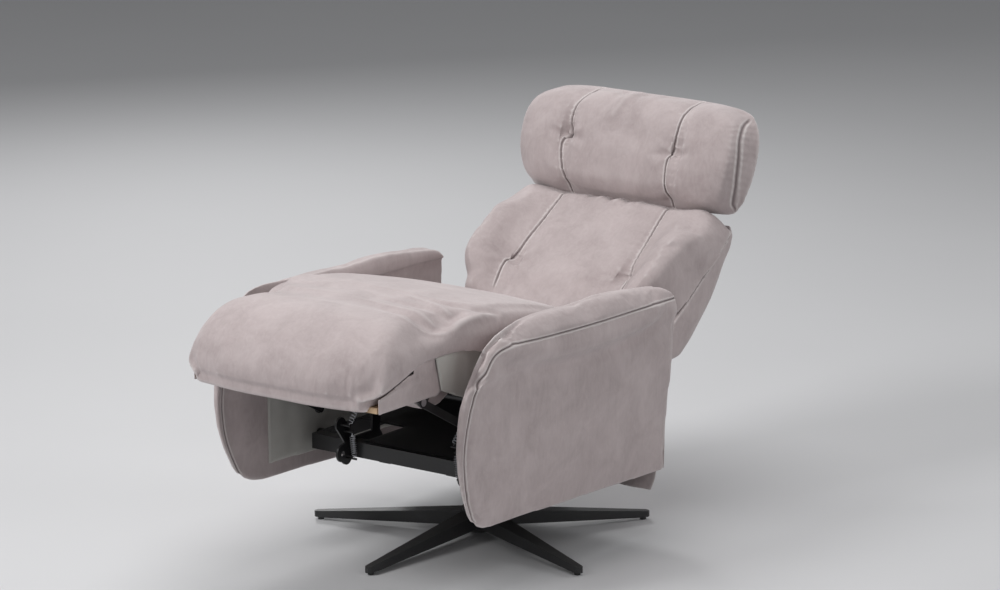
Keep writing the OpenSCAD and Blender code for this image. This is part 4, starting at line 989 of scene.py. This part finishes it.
# sheets of cloth
def clothPatch(name, low, high, cells, offset, thick, keep=None):
    # a grid between two corners, u along x and v along the rest, pushed along its normal by offset(u, v)
    a, b, c, d = (np.array(p, float) for p in (low, (high[0], *low[1:]), high, (low[0], *high[1:])))
    nu, nv = cells
    normal = np.cross(b - a, d - a)
    normal /= np.linalg.norm(normal)
    mesh = bmesh.new()
    rows = []
    for j in range(nv + 1):
        v = j / nv
        row = []
        for i in range(nu + 1):
            u = i / nu
            p = (1 - v) * ((1 - u) * a + u * b) + v * ((1 - u) * d + u * c) + normal * offset(u, v)
            row.append(mesh.verts.new(p))
        rows.append(row)
    for j in range(nv):
        for i in range(nu):
            if keep is None or keep((i + 0.5) / nu, (j + 0.5) / nv):
                mesh.faces.new((rows[j][i], rows[j][i + 1], rows[j + 1][i + 1], rows[j + 1][i]))
    bmesh.ops.delete(mesh, geom=[vert for vert in mesh.verts if not vert.link_faces], context="VERTS")
    piece = toPiece(name, mesh)
    thicken(piece, thick, 0)
    return piece


def gridCut(mesh, axis, low, high, step):  # cuts a flat panel into cells, so that it can bend
    place = low + step
    while place < high - step * 0.3:
        at, way = [0, 0, 0], [0, 0, 0]
        at[axis], way[axis] = place, 1
        bmesh.ops.bisect_plane(mesh, geom=mesh.verts[:] + mesh.edges[:] + mesh.faces[:], plane_co=at, plane_no=way)
        place += step


# the outer face of a thin CAD sheet, made soft; side is the way it faces along x
def panelFrom(name, nodeName, side, step, wave, thick, reshape=None):
    mesh = welded(nodeName)
    bmesh.ops.recalc_face_normals(mesh, faces=mesh.faces)
    bmesh.ops.delete(mesh, geom=[f for f in mesh.faces if f.normal.x * side < 0.9], context="FACES")
    area = sum(f.calc_area() for f in mesh.faces)
    low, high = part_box(nodeName)
    gridCut(mesh, 1, low.y, high.y, step)
    gridCut(mesh, 2, low.z, high.z, step)
    bmesh.ops.triangulate(mesh, faces=mesh.faces)
    for vert in mesh.verts:
        edge = 0.0 if vert.is_boundary else 1.0
        vert.co.x += side * wave(vert.co.y, vert.co.z) * edge
        if reshape:
            vert.co.y, vert.co.z = reshape(vert.co.y, vert.co.z)
    piece = toPiece(name, mesh)
    soften(piece, 0.4, 2)
    thicken(piece, thick, -1)
    return piece, (high.y - low.y, high.z - low.z), area


armLiningPlan = {"spacers": (-0.185, 0.0, 0.180), "spacerHeight": 0.225, "folds": 0.0036}


def liningWave(y, z):
    clear = min(math.hypot(y - place, z - armLiningPlan["spacerHeight"]) for place in armLiningPlan["spacers"])
    shape = 0.5 + 0.5 * math.sin(y * 95 + 2.2 * noise.noise(Vector((y * 9, z * 3, 0))))
    shape *= 0.6 + 0.4 * noise.noise(Vector((y * 14, z * 5, 4)))
    return armLiningPlan["folds"] * max(0.0, shape) * min(1.0, max(0.0, (clear - 0.014) / 0.03))


def makeArmLinings():
    for side, way in (("left", -1), ("right", 1)):
        node = "arm_lining_" + side
        piece, size, area = panelFrom("armLining" + side.capitalize(), node, way, 0.012, liningWave, 0.0012)
        finishSoft(piece, liningCloth)
        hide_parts(node)
        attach(piece, "chassis")


def seatLiningWave(y, z):
    near = min(1.0, max(0.0, (-0.30 - y) / 0.06))
    drop = 0.5 + 0.5 * math.sin(y * 150 + 3.0 * noise.noise(Vector((y * 12, z * 6, 2))))
    return 0.0005 + 0.0032 * near * max(0.0, drop * (0.7 + 0.6 * noise.noise(Vector((y * 20, z * 9, 7)))))


def wrapWave(y, z):  # a pocket of slack cloth under the edge of the cover
    run = min(1.0, max(0.0, (y + 0.655) / 0.165))
    crest = 0.486 + 0.018 * run
    slack = ramp(y, -0.660, -0.610) * (1 - ramp(y, -0.535, -0.505))
    bulge = 0.0065 * math.exp(-((z - crest) / 0.0075) ** 2) * slack
    hollow = 0.002 * math.exp(-((z - crest - 0.014) / 0.006) ** 2) * slack
    return max(0.0, bulge - hollow) + 0.0007 * noise.noise(Vector((y * 22, z * 22, 1)))


def wrapShape(y, z):  # reaches back over the knee
    return y + 0.016 * ramp(y, -0.490, -0.455), z


def makeSideSheets():
    for side, way in (("left", 1), ("right", -1)):
        node = "seat_lining_" + side
        piece, size, area = panelFrom("seatLining" + side.capitalize(), node, way, 0.009, seatLiningWave, 0.0012)
        finishSoft(piece, liningCloth)
        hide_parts(node)
        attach(piece, "seat")
        node = "legrest_wrap_" + side
        piece, size, area = panelFrom("legrestWrap" + side.capitalize(), node, way, 0.006, wrapWave, 0.0016, wrapShape)
        # painted highlight on the wrap's convex edges
        paint(piece, "paintedHighlight", edgeHighlightMask(piece) * 0.4)
        finishSoft(piece, microfibre)
        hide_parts(node)
        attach(piece, "legrest")


makeArmLinings()
makeSideSheets()
print("linings and wraps made")

apronPlan = {"profile": ((0.2608, 0.350), (0.2565, 0.245), (0.2530, 0.160), (0.2505, 0.141), (0.2440, 0.1165),
                         (0.2280, 0.0955)),
             "halfTop": 0.317, "halfFlap": 0.2985, "thick": 0.0028}


def makeApron():
    profile = curvePoints([(y, z) for y, z in apronPlan["profile"]], 6)
    run = np.concatenate([[0], np.cumsum(np.linalg.norm(np.diff(profile, axis=0), axis=1))])
    columns = 72
    mesh = bmesh.new()
    rows = []
    for (y, z), s in zip(profile, run / run[-1]):
        half = apronPlan["halfTop"] if z > 0.1415 else apronPlan["halfFlap"]
        row = []
        for i in range(columns + 1):
            u = 2 * i / columns - 1
            loose = max(0.0, s - 0.35) / 0.65
            wave = 0.0022 * loose * math.sin(i * 0.55 + 2.5 * noise.noise(Vector((u * 4, s * 2, 0)))) * (1 - u ** 8)
            wave += 0.0012 * noise.noise(Vector((u * 9, s * 5, 3)))
            row.append(mesh.verts.new((u * half, y + 0.0014 + wave, z)))
        rows.append(row)
    for low, high in zip(rows, rows[1:]):
        for i in range(columns):
            mesh.faces.new((low[i], low[i + 1], high[i + 1], high[i]))
    bmesh.ops.recalc_face_normals(mesh, faces=mesh.faces)
    piece = toPiece("rearApron", mesh)
    thicken(piece, apronPlan["thick"], 0)
    refine(piece)
    # painted highlight on the apron's convex edges
    paint(piece, "paintedHighlight", edgeHighlightMask(piece) * 0.6)
    finishSoft(piece, microfibre)
    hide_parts("rear_apron")
    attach(piece, "chassis")


makeApron()


def makeStraps(name, nodeName, body):  # webbing straps with a slight give between their ends
    mesh = welded(nodeName)
    low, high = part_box(nodeName)
    gridCut(mesh, 0, low.x, high.x, 0.02)
    half = high.x
    for vert in mesh.verts:
        vert.co.z -= 0.0012 * (1 - (vert.co.x / half) ** 2)
    bmesh.ops.recalc_face_normals(mesh, faces=mesh.faces)
    piece = toPiece(name, mesh)
    finishSoft(piece, webbingCloth, False)
    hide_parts(nodeName)
    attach(piece, body)


makeStraps("seatStraps", "seat_straps", "seat")
makeStraps("backStraps", "back_straps", "back")


def makeDustCover():  # black cover stapled under the legrest, over its board
    def sag(u, v):
        return -0.0016 * math.sin(math.pi * u) * math.sin(math.pi * v) + 0.0005 * noise.noise(Vector((u * 9, v * 6, 2)))
    piece = clothPatch("legrestDustCover", (-0.238, -0.648, 0.4535), (0.238, -0.530, 0.4535), (48, 14), sag, 0.0010)
    finishSoft(piece, dustCloth)
    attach(piece, "legrest")


makeDustCover()


def makeApronBackingAndShade():  # black cloth on the inner side of the rear apron, which also stands in for the shade behind the chassis
    def sag(u, v):
        return 0.0012 * noise.noise(Vector((u * 7, v * 4, 6)))
    piece = clothPatch("apronBackingAndShade", (-0.262, 0.2490, 0.165), (0.262, 0.2555, 0.340), (50, 18), sag, 0.0010)
    finishSoft(piece, dustCloth)
    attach(piece, "chassis")


makeApronBackingAndShade()


def makeChassisDustAndShadeCloth():  # black cloth over the chassis, which also stands in for the deep shade in the cavity under the seat; a narrower tongue reaches the front rail between the brackets
    def sag(u, v):
        return 0.0008 * noise.noise(Vector((u * 8, v * 5, 8))) * math.sin(math.pi * v)

    def tongue(u, v):
        return v > 11 / 35 or abs(u - 0.5) < 0.25
    piece = clothPatch("chassisDustAndShadeCloth", (-0.262, -0.240, 0.2435), (0.262, 0.215, 0.2435), (52, 35), sag, 0.0010, tongue)
    finishSoft(piece, dustCloth)
    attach(piece, "chassis")


makeChassisDustAndShadeCloth()
print("apron, straps and dust covers made")

bpy.ops.object.select_all(action="DESELECT")
sizes = {"cad": cadBox, "visual": [list(corner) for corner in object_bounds()]}
sizes = {key: [[round(float(v), 5) for v in corner] for corner in box] for key, box in sizes.items()}
